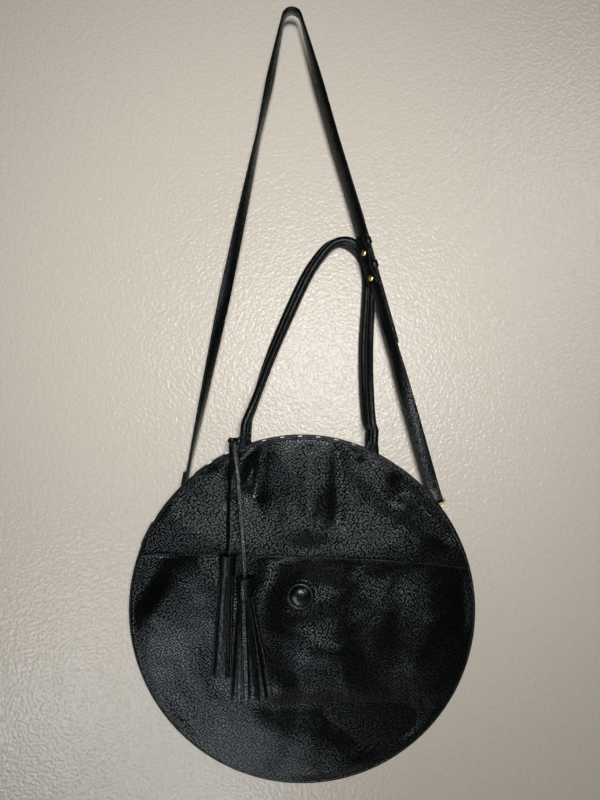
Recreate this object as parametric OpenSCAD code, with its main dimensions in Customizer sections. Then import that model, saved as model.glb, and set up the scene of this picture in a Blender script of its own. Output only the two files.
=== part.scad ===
// A round leather tote, hung by its crossbody strap from a peg.
// The origin is where the strap's inner face rests on the peg. X runs to the
// right, the front of the bag faces -Y and Z is up.

/* [Body] */
// Diameter of the bag over its piping
bag_d = 410; // [340:1:460]
// Width of the gusset between the two round panels
gusset_w = 45; // [38:1:70]
// Thickness of the body leather
leather_t = 2.2; // [1.4:0.1:2.8]
// Thickness of the striped cloth lining
lining_t = 1; // [0.6:0.1:1.4]
// Outward swell of the front and back panels at the middle
panel_swell = 6; // [3:0.5:10]
// Radius of the piping round the panels
piping_r = 1.8; // [1.2:0.1:2.4]
// Thickness of the lay between two skins that are sewn together
lay_gap = 0.2; // [0.1:0.05:0.4]
// Height of the gusset's top ends above the middle of the bag
gusset_end_z = 72; // [60:1:74]
// Height above the middle of the bag at which the back folds open
fold_z = 77; // [76:1:90]
// How far the bag has turned clockwise on its strap, in degrees
bag_roll = 2.4; // [0:0.1:4]
// How far the middle of the bag lies right of the peg
bag_x = 12.2; // [0:0.1:20]
// How far the middle of the bag lies behind the strap
bag_y = 0; // [-3:0.1:3]
// Drop from the peg to the middle of the bag
bag_drop = 723.4; // [680:0.1:800]

/* [Pocket] */
// Height of the pocket's edge above the middle of the bag, at the middle
pocket_top = 67; // [50:1:70]
// How far the pocket's edge drops towards its two ends
pocket_dip = 10; // [0:1:16]
// Outward swell of the pocket panel at the middle
pocket_swell = 15; // [14:0.5:16]
// Depth of the hem that binds the pocket's edge
hem_h = 7; // [5:0.5:10]
// Thickness of the hem strip inside the pocket's edge
hem_t = 1.2; // [0.8:0.1:1.5]
// Radius of the leather-covered snap
snap_r = 13.5; // [10:0.5:15]
// How far the covered snap stands proud
snap_h = 5; // [3:0.5:7]
// Snap's distance left of the middle of the bag
snap_left = 3; // [0:1:8]
// Snap's height above the middle of the bag
snap_z = 22; // [15:1:30]
// Radius of the snap's socket and of the washer behind its cap
socket_r = 9; // [7:0.5:10]
// Thickness of the snap's socket
socket_t = 2.4; // [1.5:0.1:3]

/* [Mouth magnets] */
// Radius of each magnet disc
magnet_r = 9; // [7:0.5:10]
// Thickness of each magnet disc
magnet_t = 3; // [2:0.5:4]
// Distance from the rim down to the middle of a magnet disc
magnet_drop = 26; // [20:1:34]

/* [Handles] */
// Distance between the two ends of a handle
handle_span = 155; // [140:1:170]
// Height of a handle above the rim
handle_h = 261; // [220:1:300]
// Radius of a rolled handle
handle_r = 4.7; // [3.5:0.1:5]
// Thickness of a handle's leather skin
handle_skin = 1.6; // [1:0.1:2]
// Clearance between a handle's skin and its rope core
core_gap = 0.1; // [0.05:0.05:0.3]
// Height above the rim at which a handle bends
stub_h = 22; // [18:1:28]
// Clearance at each handle's bend
bend_gap = 0.3; // [0.2:0.05:0.5]
// Where the front handle's top lies behind the strap
front_top_y = 17.5; // [17:0.1:19]
// Where the back handle's top lies behind the strap
back_top_y = 28; // [27.5:0.1:32]
// Width of the patch sewn inside behind each handle end
patch_w = 26; // [20:1:34]
// Height of the patch sewn inside behind each handle end
patch_h = 34; // [26:1:40]
// Thickness of the patch sewn inside behind each handle end
patch_t = 1.5; // [1:0.1:2]

/* [Strap] */
// Width of the strap
strap_w = 15; // [12:0.5:18]
// Thickness of the strap
strap_t = 2.6; // [1.8:0.1:3]
// Radius of the strap's bend over the peg, at its inner face
apex_r = 10; // [8:0.5:14]
// Turn of the strap's width out of the picture at the adjuster, in degrees
adjuster_turn = -50; // [-60:1:-35]
// Radius of a stud's domed head
stud_head_r = 3.5; // [2.5:0.1:4]
// Height of a stud's head
stud_head_t = 1.6; // [1:0.1:2]
// Radius of a stud's post
stud_post_r = 1.5; // [1:0.1:2]
// Clearance round a stud's post
stud_gap = 0.15; // [0.05:0.05:0.3]
// Distance between the two studs
stud_pitch = 32; // [30:0.5:36]
// Length of the stud tab
tab_len = 60; // [58:1:62]
// Length of a keeper loop along the strap
keeper_len = 8; // [6:0.5:9]
// Thickness of a keeper loop
keeper_t = 1.4; // [1:0.1:1.6]
// Clearance between a keeper loop and the straps inside it
keeper_gap = 0.4; // [0.3:0.05:0.5]
// Travel of the loose keeper each way
keeper_travel = 5; // [2:0.5:5]
// Length of the strap's folded and stitched end
fold_len = 28; // [22:1:34]

/* [Rings and hooks] */
// Radius of the strap eye's loop at the middle of its wire
eye_r = 9.6; // [9.4:0.1:11]
// Radius of the strap eye's wire
eye_wire = 1.1; // [0.9:0.1:1.3]
// Clearance round a bar that leather folds over
bar_gap = 0.3; // [0.2:0.05:0.5]
// Radius of the collar that the hook turns in
collar_r = 3.2; // [2.8:0.1:4]
// Height of the collar that the hook turns in
collar_h = 4.8; // [3.5:0.1:6]
// Radius of the hook's swivel post
post_r = 1.7; // [1.4:0.1:1.9]
// Running clearance round the swivel post and the gate's pin
run_gap = 0.05; // [0.02:0.01:0.08]
// Radius of the head that keeps the swivel post in its collar
post_head_r = 2.8; // [2.4:0.1:3]
// Thickness of the head that keeps the swivel post in its collar
post_head_t = 1.4; // [1:0.1:1.5]
// Clearance beyond each end of the collar
end_gap = 0.3; // [0.2:0.05:0.4]
// Distance from the strap eye's bar to the ring's wire
hook_reach = 36.5; // [35:0.5:42]
// Radius of the hook's bow at the middle of its wire
bow_r = 5.7; // [5.5:0.1:6.5]
// Radius of the hook's wire
bow_wire = 1.6; // [1.3:0.1:1.8]
// Height from the middle of the hook's bow up to its head
throat_h = 10.2; // [9.8:0.1:10.6]
// Height of the hook's head
hook_head_h = 5; // [4.5:0.1:5.4]
// Half width of the hook's head, front to back
hook_head_y = 2.2; // [2:0.1:2.6]
// Radius of the gate's pin
pin_r = 0.7; // [0.5:0.05:0.8]
// Thickness of the gate
gate_t = 1.3; // [1:0.1:1.4]
// Half width of the gate's arm
gate_arm = 1.2; // [1:0.1:1.3]
// Lean of the right hook from upright, in degrees
right_hook_lean = -15.7; // [-18:0.1:-14]
// Lean of the left hook from upright, in degrees
left_hook_lean = 36; // [34:0.1:40]
// Radius of a D-ring at the middle of its wire
ring_r = 10; // [9.5:0.1:11]
// Radius of a D-ring's wire
ring_wire = 1.5; // [1.2:0.1:1.7]
// Length of a D-ring's straight sides
ring_side = 5; // [4.5:0.5:7]
// Inward lean of a D-ring from upright, in degrees
ring_lean = 38; // [34:1:42]
// Thickness of the leather tab that holds a D-ring
ring_tab_t = 1.5; // [1.2:0.1:1.8]
// Width of the leather tab that holds a D-ring
ring_tab_w = 14; // [10:0.5:15]
// Length of the leather tab down the gusset
ring_tab_len = 34; // [28:1:44]
// Height of the D-ring's bar above the gusset's end
ring_bar_up = 15.5; // [15:0.5:18]

/* [Tassels] */
// Radius of a tassel's cap
cap_r = 10.3; // [8:0.1:10.3]
// Height of a tassel's cap
cap_h = 22.8; // [18:0.1:26]
// Length of a tassel's strips below its cap
skirt_len = 116; // [90:1:130]
// Width of one strip
strip_w = 4; // [3:0.1:4.5]
// Thickness of one strip
strip_t = 1.3; // [1:0.1:1.6]
// Width of a lace
lace_w = 5.6; // [4:0.1:5.8]
// Thickness of a lace
lace_t = 2; // [1.4:0.1:2.6]
// Radius of the lace where it goes round the handle's end
loop_wire = 1.5; // [1:0.1:1.6]
// Radius of the knot
knot_r = 5; // [4:0.1:5.5]
// Middle of the left tassel's cap, left of the middle of the bag
left_cap_x = 87.4; // [86:0.1:95]
// Middle of the left tassel's cap, above the middle of the bag
left_cap_z = 57.6; // [50:0.1:70]
// Middle of the right tassel's cap, left of the middle of the bag
right_cap_x = 66.4; // [60:0.1:66.6]
// Middle of the right tassel's cap, above the middle of the bag
right_cap_z = 33.3; // [24:0.1:34]
// How far the middle of the tassels lies in front of the bag's middle
tassel_front = 51.6; // [51.4:0.1:56]

/* [Hidden] */
$fn = 96;
over = 1;

// Radii and heights of the body's layers
panel_r = bag_d / 2 - 2 * piping_r - lay_gap;
gusset_half = gusset_w / 2;
gusset_in = panel_r - leather_t;
gusset_lining_out = gusset_in - lay_gap;
gusset_lining_in = gusset_lining_out - lining_t;
rim_r = bag_d / 2;
lining_r = gusset_lining_in - lay_gap;
end_angle = asin(gusset_end_z / panel_r);
swell_steps = 10;

// Unit vectors and helpers
function dir_up(lean) = [sin(lean), 0, cos(lean)];
function mix(a, b, share) = a + (b - a) * share;
function clamp_share(v) = min(1, max(0, v));
function ease_share(v) = v * v * (3 - 2 * v);

// A solid swept through stations, each a centre and two half axes
function ring_points(station, outline) = [for (c = outline) station[0] + c[0] * station[1] + c[1] * station[2]];
module sweep(stations, outline) {
    n = len(outline);
    last = len(stations) - 1;
    points = [for (s = stations) each ring_points(s, outline)];
    sides = [for (i = [0:last - 1], j = [0:n - 1]) each [
        [i * n + j, (i + 1) * n + (j + 1) % n, i * n + (j + 1) % n],
        [i * n + j, (i + 1) * n + j, (i + 1) * n + (j + 1) % n]]];
    start_cap = [for (j = [1:n - 2]) [0, j, j + 1]];
    end_cap = [for (j = [1:n - 2]) [last * n, last * n + j + 1, last * n + j]];
    polyhedron(points, concat(sides, start_cap, end_cap));
}
square_shares = [[1, 1], [1, -1], [-1, -1], [-1, 1]];
tube_sides = 12;
tube_shares = [for (i = [0:tube_sides - 1]) [cos(i * 360 / tube_sides), sin(i * 360 / tube_sides)]];
core_sides = 8;
core_shares = [for (i = [0:core_sides - 1]) [cos(i * 360 / core_sides), sin(i * 360 / core_sides)]];

// A smooth line through points, four steps from each to the next
function spline(p, steps) = [for (i = [0:len(p) - 2], k = [0:steps - 1])
    let (a = p[max(i - 1, 0)], b = p[i], c = p[i + 1], d = p[min(i + 2, len(p) - 1)], t = k / steps)
    0.5 * ((2 * b) + (c - a) * t + (2 * a - 5 * b + 4 * c - d) * t * t
        + (3 * b - a - 3 * c + d) * t * t * t)];
function spline_to_end(p, steps) = concat(spline(p, steps), [p[len(p) - 1]]);
function unit(v) = v / norm(v);
// Round stations along a line of points, whose half axes are the radius r
function round_stations(line, r) = [for (i = [0:len(line) - 1])
    let (
        tangent = unit(line[min(i + 1, len(line) - 1)] - line[max(i - 1, 0)]),
        across = unit(cross([0, 1, 0], tangent)),
        depth = cross(tangent, across)
    )
    [line[i], across * r, depth * r]];

// Places a child of the bag's own frame
module on_bag() translate([bag_x, bag_y, -bag_drop]) rotate([0, bag_roll, 0]) children();
function from_bag(p) = [
    bag_x + p[0] * cos(bag_roll) + p[2] * sin(bag_roll),
    bag_y + p[1],
    -bag_drop - p[0] * sin(bag_roll) + p[2] * cos(bag_roll)];

// The swell of a round panel at a distance from its middle
function swell_at(swell, r) = swell * (1 - pow(r / panel_r, 2));
// A swelling disc in the XY plane: its rim's inner face is at z = 0
module swell_disc(r, swell, t) {
    outer = [for (i = [0:swell_steps]) [r * i / swell_steps, swell_at(swell, r * i / swell_steps) + t]];
    inner = [for (i = [swell_steps:-1:0]) [r * i / swell_steps, swell_at(swell, r * i / swell_steps)]];
    rotate_extrude() polygon(concat(outer, inner));
}
// Turns that disc so that it swells to the front, with its rim at depth y
module to_front(y) translate([0, y, 0]) rotate([90, 0, 0]) children();
module to_back(y) translate([0, y, 0]) rotate([90, 0, 0]) mirror([0, 0, 1]) children();
// A band of a ring in the XZ plane, over y0 to y1, between two angles
module arc_band(r0, r1, y0, y1, from, to) {
    rotate([90, 0, 0]) translate([0, 0, -y1])
        rotate([0, 0, from]) rotate_extrude(angle = to - from)
            translate([r0, 0]) square([r1 - r0, y1 - y0]);
}
// A round cord of a ring in the XZ plane
module arc_cord(r, y, wire, from, to) {
    rotate([90, 0, 0]) translate([0, 0, -y])
        rotate([0, 0, from]) rotate_extrude(angle = to - from)
            translate([r, 0]) circle(wire, $fn = 24);
}
// The half space above or below a height in the XZ plane
module above(z) translate([-bag_d, -bag_d, z]) cube([2 * bag_d, 2 * bag_d, bag_d]);
module below(z) translate([-bag_d, -bag_d, z - bag_d]) cube([2 * bag_d, 2 * bag_d, bag_d]);

/* Body */
leather = "#17191b";
cloth = "#232325";
brass = "#b08d3f";
steel = "#9a9a9a";
rope = "#c9bfa6";
front_face = gusset_half + leather_t;
fold_gap = bend_gap / 2;
cord_angle = asin((fold_z - fold_gap) / rim_r);

module front_panel() color(leather) on_bag() to_front(-gusset_half) swell_disc(panel_r, panel_swell, leather_t);

// The pocket's edge, as a closed outline that holds all of the pocket below it
edge_drop_shares = [[-1, 1], [-0.8, 0.55], [-0.5, 0.18], [-0.2, 0.02], [0.1, 0], [0.45, 0.06],
    [0.75, 0.4], [1, 1]];
module under_pocket_edge(down) {
    rotate([90, 0, 0]) translate([0, 0, -bag_d]) linear_extrude(2 * bag_d)
        polygon(concat(
            [for (s = edge_drop_shares) [s[0] * rim_r, pocket_top - pocket_dip * s[1] - down]],
            [[rim_r, -bag_d], [-rim_r, -bag_d]]));
}
pocket_rim_y = front_face + lay_gap;
module pocket_panel() color(leather) on_bag() intersection() {
    to_front(-pocket_rim_y) swell_disc(panel_r, pocket_swell, leather_t);
    under_pocket_edge(0);
}
// The turned hem inside the pocket's edge
hem_r = panel_r - hem_h;
module pocket_hem() color(leather) on_bag() difference() {
    intersection() {
        to_front(-pocket_rim_y + lay_gap + hem_t) swell_disc(hem_r, pocket_swell, hem_t);
        under_pocket_edge(0);
        front_of(front_face + panel_swell);
    }
    under_pocket_edge(hem_h);
}
module front_of(y) translate([-bag_d, -bag_d - y, -bag_d]) cube([2 * bag_d, bag_d, 2 * bag_d]);

module gusset() color(leather) on_bag()
    arc_band(gusset_in, panel_r, -gusset_half + lay_gap, gusset_half - lay_gap, 180 - end_angle, 360 + end_angle);
module gusset_lining() color(cloth) on_bag()
    arc_band(gusset_lining_in, gusset_lining_out, -gusset_half + lay_gap, gusset_half - lay_gap,
        180 - end_angle, 360 + end_angle);
module piping(y) arc_cord(panel_r + lay_gap + piping_r, y, piping_r, 180 - cord_angle, 360 + cord_angle);
module front_piping() color(leather) on_bag() piping(-front_face);
module back_piping() color(leather) on_bag() piping(front_face);

module front_lining() color(cloth) on_bag()
    to_front(-gusset_half + lay_gap + lining_t) swell_disc(lining_r, panel_swell, lining_t);
module back_skin() to_back(gusset_half) swell_disc(panel_r, panel_swell, leather_t);
module back_cloth() to_back(gusset_half - lay_gap - lining_t) swell_disc(lining_r, panel_swell, lining_t);
module back_panel_lower() color(leather) on_bag() intersection() {
    back_skin();
    below(fold_z - fold_gap);
}
module back_lining_lower() color(cloth) on_bag() intersection() {
    back_cloth();
    below(fold_z - fold_gap);
}
module back_panel_upper() color(leather) on_bag() intersection() {
    back_skin();
    above(fold_z + fold_gap);
}
module back_lining_upper() color(cloth) on_bag() intersection() {
    back_cloth();
    above(fold_z + fold_gap);
}

// The folded edge that binds each rim of the mouth
bind_in = panel_r + lay_gap;
bind_angle = asin((fold_z + fold_gap) / bind_in);
module mouth_binding() arc_band(bind_in, rim_r, gusset_half - lay_gap - lining_t, front_face + lining_t,
    bind_angle, 180 - bind_angle);
module front_mouth_binding() color(leather) on_bag() mirror([0, 1, 0]) mouth_binding();
module back_mouth_binding() color(leather) on_bag() mouth_binding();

// Magnets and patches are sewn on the lining inside the mouth
inside_face = gusset_half - lay_gap - lining_t;
magnet_z = rim_r - magnet_drop;
magnet_seat = inside_face + swell_at(panel_swell, magnet_z + magnet_r) - lay_gap;
module magnet() translate([0, magnet_seat, magnet_z]) rotate([90, 0, 0]) cylinder(magnet_t, magnet_r, magnet_r);
module front_magnet() color(steel) on_bag() mirror([0, 1, 0]) magnet();
module back_magnet() color(steel) on_bag() magnet();

end_x = handle_span / 2;
end_z = sqrt(pow(rim_r, 2) - pow(end_x, 2));
patch_top = end_z - patch_w / 2;
patch_seat = inside_face - lay_gap;
module patches() for (side = [-1, 1])
    translate([side * end_x - patch_w / 2, patch_seat - patch_t, patch_top - patch_h])
        cube([patch_w, patch_t, patch_h]);
module front_patches() color(leather) on_bag() mirror([0, 1, 0]) patches();
module back_patches() color(leather) on_bag() patches();

/* Pocket snap */
snap_from_middle = sqrt(pow(snap_left, 2) + pow(snap_z, 2));
pocket_outer = pocket_rim_y + leather_t + swell_at(pocket_swell, snap_from_middle - snap_r);
panel_outer = front_face + swell_at(panel_swell, snap_from_middle - socket_r);
pocket_inner = pocket_rim_y + swell_at(pocket_swell, snap_from_middle + snap_r);
module on_snap(y) translate([-snap_left, -y, snap_z]) rotate([90, 0, 0]) children();
module snap_cover() color(leather) on_bag() on_snap(pocket_outer + lay_gap) difference() {
    snap_dome(snap_r, snap_h);
    snap_dome(snap_r - leather_t, snap_h - leather_t);
}
module snap_dome(r, h) rotate_extrude() intersection() {
    dome_r = (pow(r, 2) + pow(h, 2)) / (2 * h);
    translate([0, h - dome_r]) circle(dome_r, $fn = 180);
    square([r, h]);
}
module snap_cap() color(brass) on_bag() on_snap(pocket_outer + lay_gap)
    snap_dome(snap_r - leather_t - lay_gap, snap_h - leather_t - lay_gap);
module snap_socket() color(brass) on_bag() on_snap(panel_outer + lay_gap) difference() {
    cylinder(socket_t, socket_r, socket_r);
    translate([0, 0, socket_t / 2]) cylinder(socket_t, socket_r / 2, socket_r / 2);
}
module snap_washer() color(brass) on_bag() on_snap(pocket_inner - lay_gap - hem_t)
    difference() {
        cylinder(hem_t, socket_r, socket_r);
        translate([0, 0, -over]) cylinder(hem_t + 2 * over, socket_r / 2, socket_r / 2);
    }

/* Handles */
seam_y = gusset_half;
bend_z = end_z + stub_h;
// A handle's route: shares of half the span and of the height over the rim
handle_shares = [[-0.965, 0.13], [-0.855, 0.22], [-0.655, 0.41], [-0.42, 0.6], [-0.145, 0.8],
    [0.04, 0.9], [0.245, 0.976], [0.455, 1], [0.66, 0.98], [0.83, 0.925], [0.915, 0.835],
    [0.925, 0.71], [0.91, 0.52], [0.91, 0.33], [0.95, 0.15]];
// The back handle leans this share of half a span further left at its top
back_left_share = 0.075;
// A handle has come back to its top's depth at this share of its height
lean_share = 0.7;
function handle_line(base_y, top_y, left_share) = concat(
    [[-end_x, base_y, bend_z], [-end_x * 0.995, base_y, bend_z + handle_r]],
    [for (s = handle_shares) [
        end_x * (s[0] - left_share * clamp_share(2 * s[1])),
        mix(base_y, top_y, ease_share(clamp_share((s[1] - stub_h / handle_h) / (lean_share - stub_h / handle_h)))),
        end_z + handle_h * s[1]]],
    [[end_x * 0.995, base_y, bend_z + handle_r], [end_x, base_y, bend_z]]);
front_line = spline_to_end(handle_line(-seam_y, front_top_y - bag_y, 0), 3);
back_line = spline_to_end(handle_line(seam_y, back_top_y - bag_y, back_left_share), 3);
// Stations that round off both ends of a line whose ends hang straight down
round_turns = [75, 50, 25];
function round_end(p, axes) = [for (turn = round_turns)
    [p - [0, 0, handle_r * sin(turn)], axes[1] * cos(turn), axes[2] * cos(turn)]];
function rounded_stations(stations) = let (first = stations[0], last = stations[len(stations) - 1])
    concat(round_end(first[0], first), stations,
        [for (i = [len(round_turns) - 1:-1:0]) round_end(last[0], last)[i]]);
module handle_skin_tube(line) difference() {
    sweep(rounded_stations(round_stations(line, handle_r)), tube_shares);
    sweep(round_stations(line, handle_r - handle_skin), core_shares);
}
// The same line without its first and last points
function inner_line(line) = [for (i = [1:len(line) - 2]) line[i]];
module front_handle() color(leather) on_bag() handle_skin_tube(front_line);
module back_handle() color(leather) on_bag() handle_skin_tube(back_line);
core_r = handle_r - handle_skin - core_gap / cos(180 / core_sides);
module front_handle_core() color(rope) on_bag() sweep(round_stations(inner_line(front_line), core_r), core_shares);
module back_handle_core() color(rope) on_bag() sweep(round_stations(inner_line(back_line), core_r), core_shares);
module handle_ends(y) for (side = [-1, 1]) difference() {
    translate([side * end_x, y, end_z - 2 * handle_r])
        cylinder(2 * handle_r + stub_h - handle_r - bend_gap, handle_r, handle_r);
    rotate([90, 0, 0]) translate([0, 0, -bag_d]) cylinder(2 * bag_d, rim_r + lay_gap, rim_r + lay_gap, $fn = 360);
}
module front_handle_ends() color(leather) on_bag() handle_ends(-seam_y);
module back_handle_ends() color(leather) on_bag() handle_ends(seam_y);

/* D-rings and their tabs */
tab_out_0 = panel_r + lay_gap;
tab_out_1 = tab_out_0 + ring_tab_t;
tab_in_1 = gusset_lining_in - lay_gap;
tab_in_0 = tab_in_1 - ring_tab_t;
bar_r = (tab_out_1 + tab_in_0) / 2;
bar_angle = end_angle + ring_bar_up / bar_r * 180 / PI;
tab_turn = ring_tab_len / bar_r * 180 / PI;
bar_at = [bar_r * cos(bar_angle), 0, bar_r * sin(bar_angle)];
ring_drop = ring_r + ring_side;
contact = bar_at + ring_drop * dir_up(-ring_lean);
ring_middle = bar_at + ring_side * dir_up(-ring_lean);
wrap_out = (tab_out_1 - tab_in_0) / 2;
wrap_in = wrap_out - ring_tab_t;
ring_y = -bag_y;

// The tab's outline: down the gusset's outside, round the bar and down the inside
tab_steps = 8;
function polar(r, angle) = [r * cos(angle), r * sin(angle)];
function tab_arc(r, up) = [for (i = [0:tab_steps]) let (share = up ? i / tab_steps : 1 - i / tab_steps)
    polar(r, bar_angle - tab_turn * (1 - share))];
function tab_wrap(r, out) = [for (i = [1:tab_steps - 1]) let (share = out ? i / tab_steps : 1 - i / tab_steps)
    polar(bar_r, bar_angle) + polar(r, bar_angle + 180 * share)];
module ring_tab() translate([0, ring_y, 0]) rotate([90, 0, 0]) translate([0, 0, -ring_tab_w / 2])
    linear_extrude(ring_tab_w) polygon(concat(
        tab_arc(tab_out_1, true), tab_wrap(wrap_out, true), tab_arc(tab_in_0, false),
        tab_arc(tab_in_1, true), tab_wrap(wrap_in, false), tab_arc(tab_out_0, false)));
module d_ring() translate([bar_at[0], ring_y, bar_at[2]]) rotate([0, -ring_lean, 0]) {
    translate([0, 0, ring_side]) rotate([0, 0, 90]) rotate([90, 0, 0]) rotate_extrude(angle = 180)
        translate([ring_r, 0]) circle(ring_wire, $fn = 24);
    for (side = [-1, 1]) {
        translate([0, side * ring_r, 0]) cylinder(ring_side, ring_wire, ring_wire, $fn = 24);
        translate([0, side * ring_r, 0]) sphere(ring_wire, $fn = 24);
    }
    translate([0, -ring_r, 0]) rotate([-90, 0, 0]) cylinder(2 * ring_r, ring_wire, ring_wire, $fn = 24);
}
module right_ring_tab() color(leather) on_bag() ring_tab();
module left_ring_tab() color(leather) on_bag() mirror([1, 0, 0]) ring_tab();
module right_d_ring() color(brass) on_bag() d_ring();
module left_d_ring() color(brass) on_bag() mirror([1, 0, 0]) d_ring();

/* Hooks and strap eyes */
right_contact = from_bag([contact[0], ring_y, contact[2]]);
left_contact = from_bag([-contact[0], ring_y, contact[2]]);
right_eye_at = right_contact + hook_reach * dir_up(right_hook_lean);
left_eye_at = left_contact + hook_reach * dir_up(left_hook_lean);

bow_z = bow_r - ring_wire - end_gap - bow_wire;
collar_top = hook_reach - eye_r + collar_h / 2;
collar_bottom = collar_top - collar_h;
hook_head_low = bow_z + throat_h;
hook_head_z = hook_head_low + hook_head_h / 2;
gate_pivot_z = hook_head_z;
tip_angle = 20;
gate_end_z = bow_z + (bow_r + bow_wire) * sin(tip_angle) + end_gap;
slot_half_share = 0.55;
slot_half = hook_head_y * slot_half_share;
side_gap = 2 * run_gap;
head_half_x = bow_r + bow_wire;

// The hook with the ring's wire at its origin and its post pointing up
module hook() difference() {
    union() {
        rotate([90, 0, 0]) translate([0, bow_z, 0]) rotate([0, 0, 180]) rotate_extrude(angle = 180 + tip_angle)
            translate([bow_r, 0]) circle(bow_wire, $fn = 24);
        translate([-bow_r, 0, bow_z]) cylinder(hook_head_z - bow_z, bow_wire, bow_wire, $fn = 24);
        translate([-head_half_x, -hook_head_y, hook_head_low])
            cube([2 * head_half_x, 2 * hook_head_y, hook_head_h]);
        translate([0, 0, hook_head_z]) cylinder(collar_bottom - end_gap - hook_head_z, post_head_r, post_head_r);
        translate([0, 0, hook_head_z]) cylinder(collar_top + end_gap - hook_head_z, post_r, post_r);
        translate([0, 0, collar_top + end_gap]) cylinder(post_head_t, post_head_r, post_head_r);
    }
    translate([bow_r - 2 * gate_arm, -slot_half, hook_head_low - over])
        cube([2 * head_half_x, 2 * slot_half, over + hook_head_h / 2 + gate_arm + end_gap]);
    translate([bow_r, 0, gate_pivot_z]) rotate([90, 0, 0]) translate([0, 0, -head_half_x])
        cylinder(2 * head_half_x, pin_r + run_gap / 2, pin_r + run_gap / 2, $fn = 24);
}
gate_back = -slot_half + side_gap;
module gate() difference() {
    union() {
        translate([bow_r, gate_back + gate_t, gate_pivot_z]) rotate([90, 0, 0]) cylinder(gate_t, gate_arm, gate_arm);
        translate([bow_r - gate_arm, gate_back, gate_end_z])
            cube([2 * gate_arm, gate_t, gate_pivot_z - gate_end_z]);
        translate([bow_r, gate_back + gate_t / 2, (gate_end_z + gate_pivot_z) / 2]) rotate([0, 90, 0])
            cylinder(gate_arm + bow_wire, gate_t / 2, gate_t / 2, $fn = 24);
    }
    translate([bow_r, 0, gate_pivot_z]) rotate([90, 0, 0]) translate([0, 0, -head_half_x])
        cylinder(2 * head_half_x, pin_r + run_gap, pin_r + run_gap, $fn = 24);
}
module gate_pin() translate([bow_r, hook_head_y, gate_pivot_z]) rotate([90, 0, 0])
    cylinder(2 * hook_head_y, pin_r, pin_r, $fn = 24);
spring_from = gate_back + gate_t + side_gap;
spring_len = slot_half - spring_from - side_gap;
module gate_spring() translate([bow_r, spring_from + spring_len, gate_pivot_z]) rotate([90, 0, 0])
    difference() {
        cylinder(spring_len, gate_arm, gate_arm, $fn = 24);
        translate([0, 0, -over]) cylinder(spring_len + 2 * over, pin_r + 2 * run_gap, pin_r + 2 * run_gap, $fn = 24);
    }
// The metal eye in the strap's end, its bar at the origin and the hook below
module strap_eye() difference() {
    union() {
        translate([-eye_r, 0, 0]) rotate([0, 90, 0]) cylinder(2 * eye_r, eye_wire, eye_wire, $fn = 24);
        for (side = [-1, 1]) translate([side * eye_r, 0, 0]) sphere(eye_wire, $fn = 24);
        rotate([90, 0, 0]) rotate([0, 0, 180]) rotate_extrude(angle = 180)
            translate([eye_r, 0]) circle(eye_wire, $fn = 24);
        translate([0, 0, -eye_r - collar_h / 2]) cylinder(collar_h, collar_r, collar_r);
    }
    translate([0, 0, -eye_r - collar_h]) cylinder(2 * collar_h, post_r + run_gap, post_r + run_gap);
}
left_end_turn = 90;
module at_right_eye(turn) translate(right_eye_at) rotate([0, right_hook_lean, 0]) rotate([0, 0, turn]) children();
module at_left_eye(turn) translate(left_eye_at) rotate([0, left_hook_lean, 0]) rotate([0, 0, turn]) children();
module at_right_hook() at_right_eye(0) translate([0, 0, -hook_reach]) children();
module at_left_hook() at_left_eye(0) translate([0, 0, -hook_reach]) mirror([1, 0, 0]) children();
module right_strap_eye() color(brass) at_right_eye(0) strap_eye();
module left_strap_eye() color(brass) at_left_eye(left_end_turn) strap_eye();
module right_hook() color(brass) at_right_hook() hook();
module left_hook() color(brass) at_left_hook() hook();
module right_gate() color(brass) at_right_hook() gate();
module left_gate() color(brass) at_left_hook() gate();
module right_gate_pin() color(steel) at_right_hook() gate_pin();
module left_gate_pin() color(steel) at_left_hook() gate_pin();
module right_gate_spring() color(steel) at_right_hook() gate_spring();
module left_gate_spring() color(steel) at_left_hook() gate_spring();

/* Strap */
mid_r = apex_r + strap_t / 2;
apex_at = [0, 0, -apex_r];
function leg_len(eye) = let (v = eye - apex_at) sqrt(pow(v[0], 2) + pow(v[2], 2) - pow(mid_r, 2));
// The leg's own direction downwards, as an angle from straight down towards +X
function leg_angle(eye, side) = let (v = eye - apex_at, d = norm([v[0], v[2]]))
    atan2(v[0], -v[2]) - side * asin(mid_r / d);
right_lean = leg_angle(right_eye_at, 1);
left_lean = leg_angle(left_eye_at, -1);
right_len = leg_len(right_eye_at);
left_len = leg_len(left_eye_at);
function down(angle) = [sin(angle), 0, -cos(angle)];
function outward(angle, side) = side * [cos(angle), 0, sin(angle)];
right_start = apex_at + mid_r * outward(right_lean, 1);
left_start = apex_at + mid_r * outward(left_lean, -1);
function on_right(s) = right_start + s * right_len * down(right_lean);
function on_left(s) = left_start + s * left_len * down(left_lean);

// Turn of the strap's width out of the picture, at shares of each leg
right_turn_shares = [[0, -90], [0.13, -60], [0.35, -56], [0.42, adjuster_turn], [0.7, adjuster_turn],
    [0.8, -14], [0.93, 0], [1, 0]];
left_turn_shares = [[0, -90], [0.13, -62], [0.24, -82], [0.43, -50], [0.58, -33], [0.79, -66],
    [0.93, -90], [1, -90]];
// Shares of the right leg where its pieces start and end
tail_share = 0.676;
adjuster_share = 0.452;
stud_share = 0.487;
long_offset_shares = [[0, 0], [0.25, 0], [0.41, 1], [1, 1]];
layer = strap_t + lay_gap;

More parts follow.
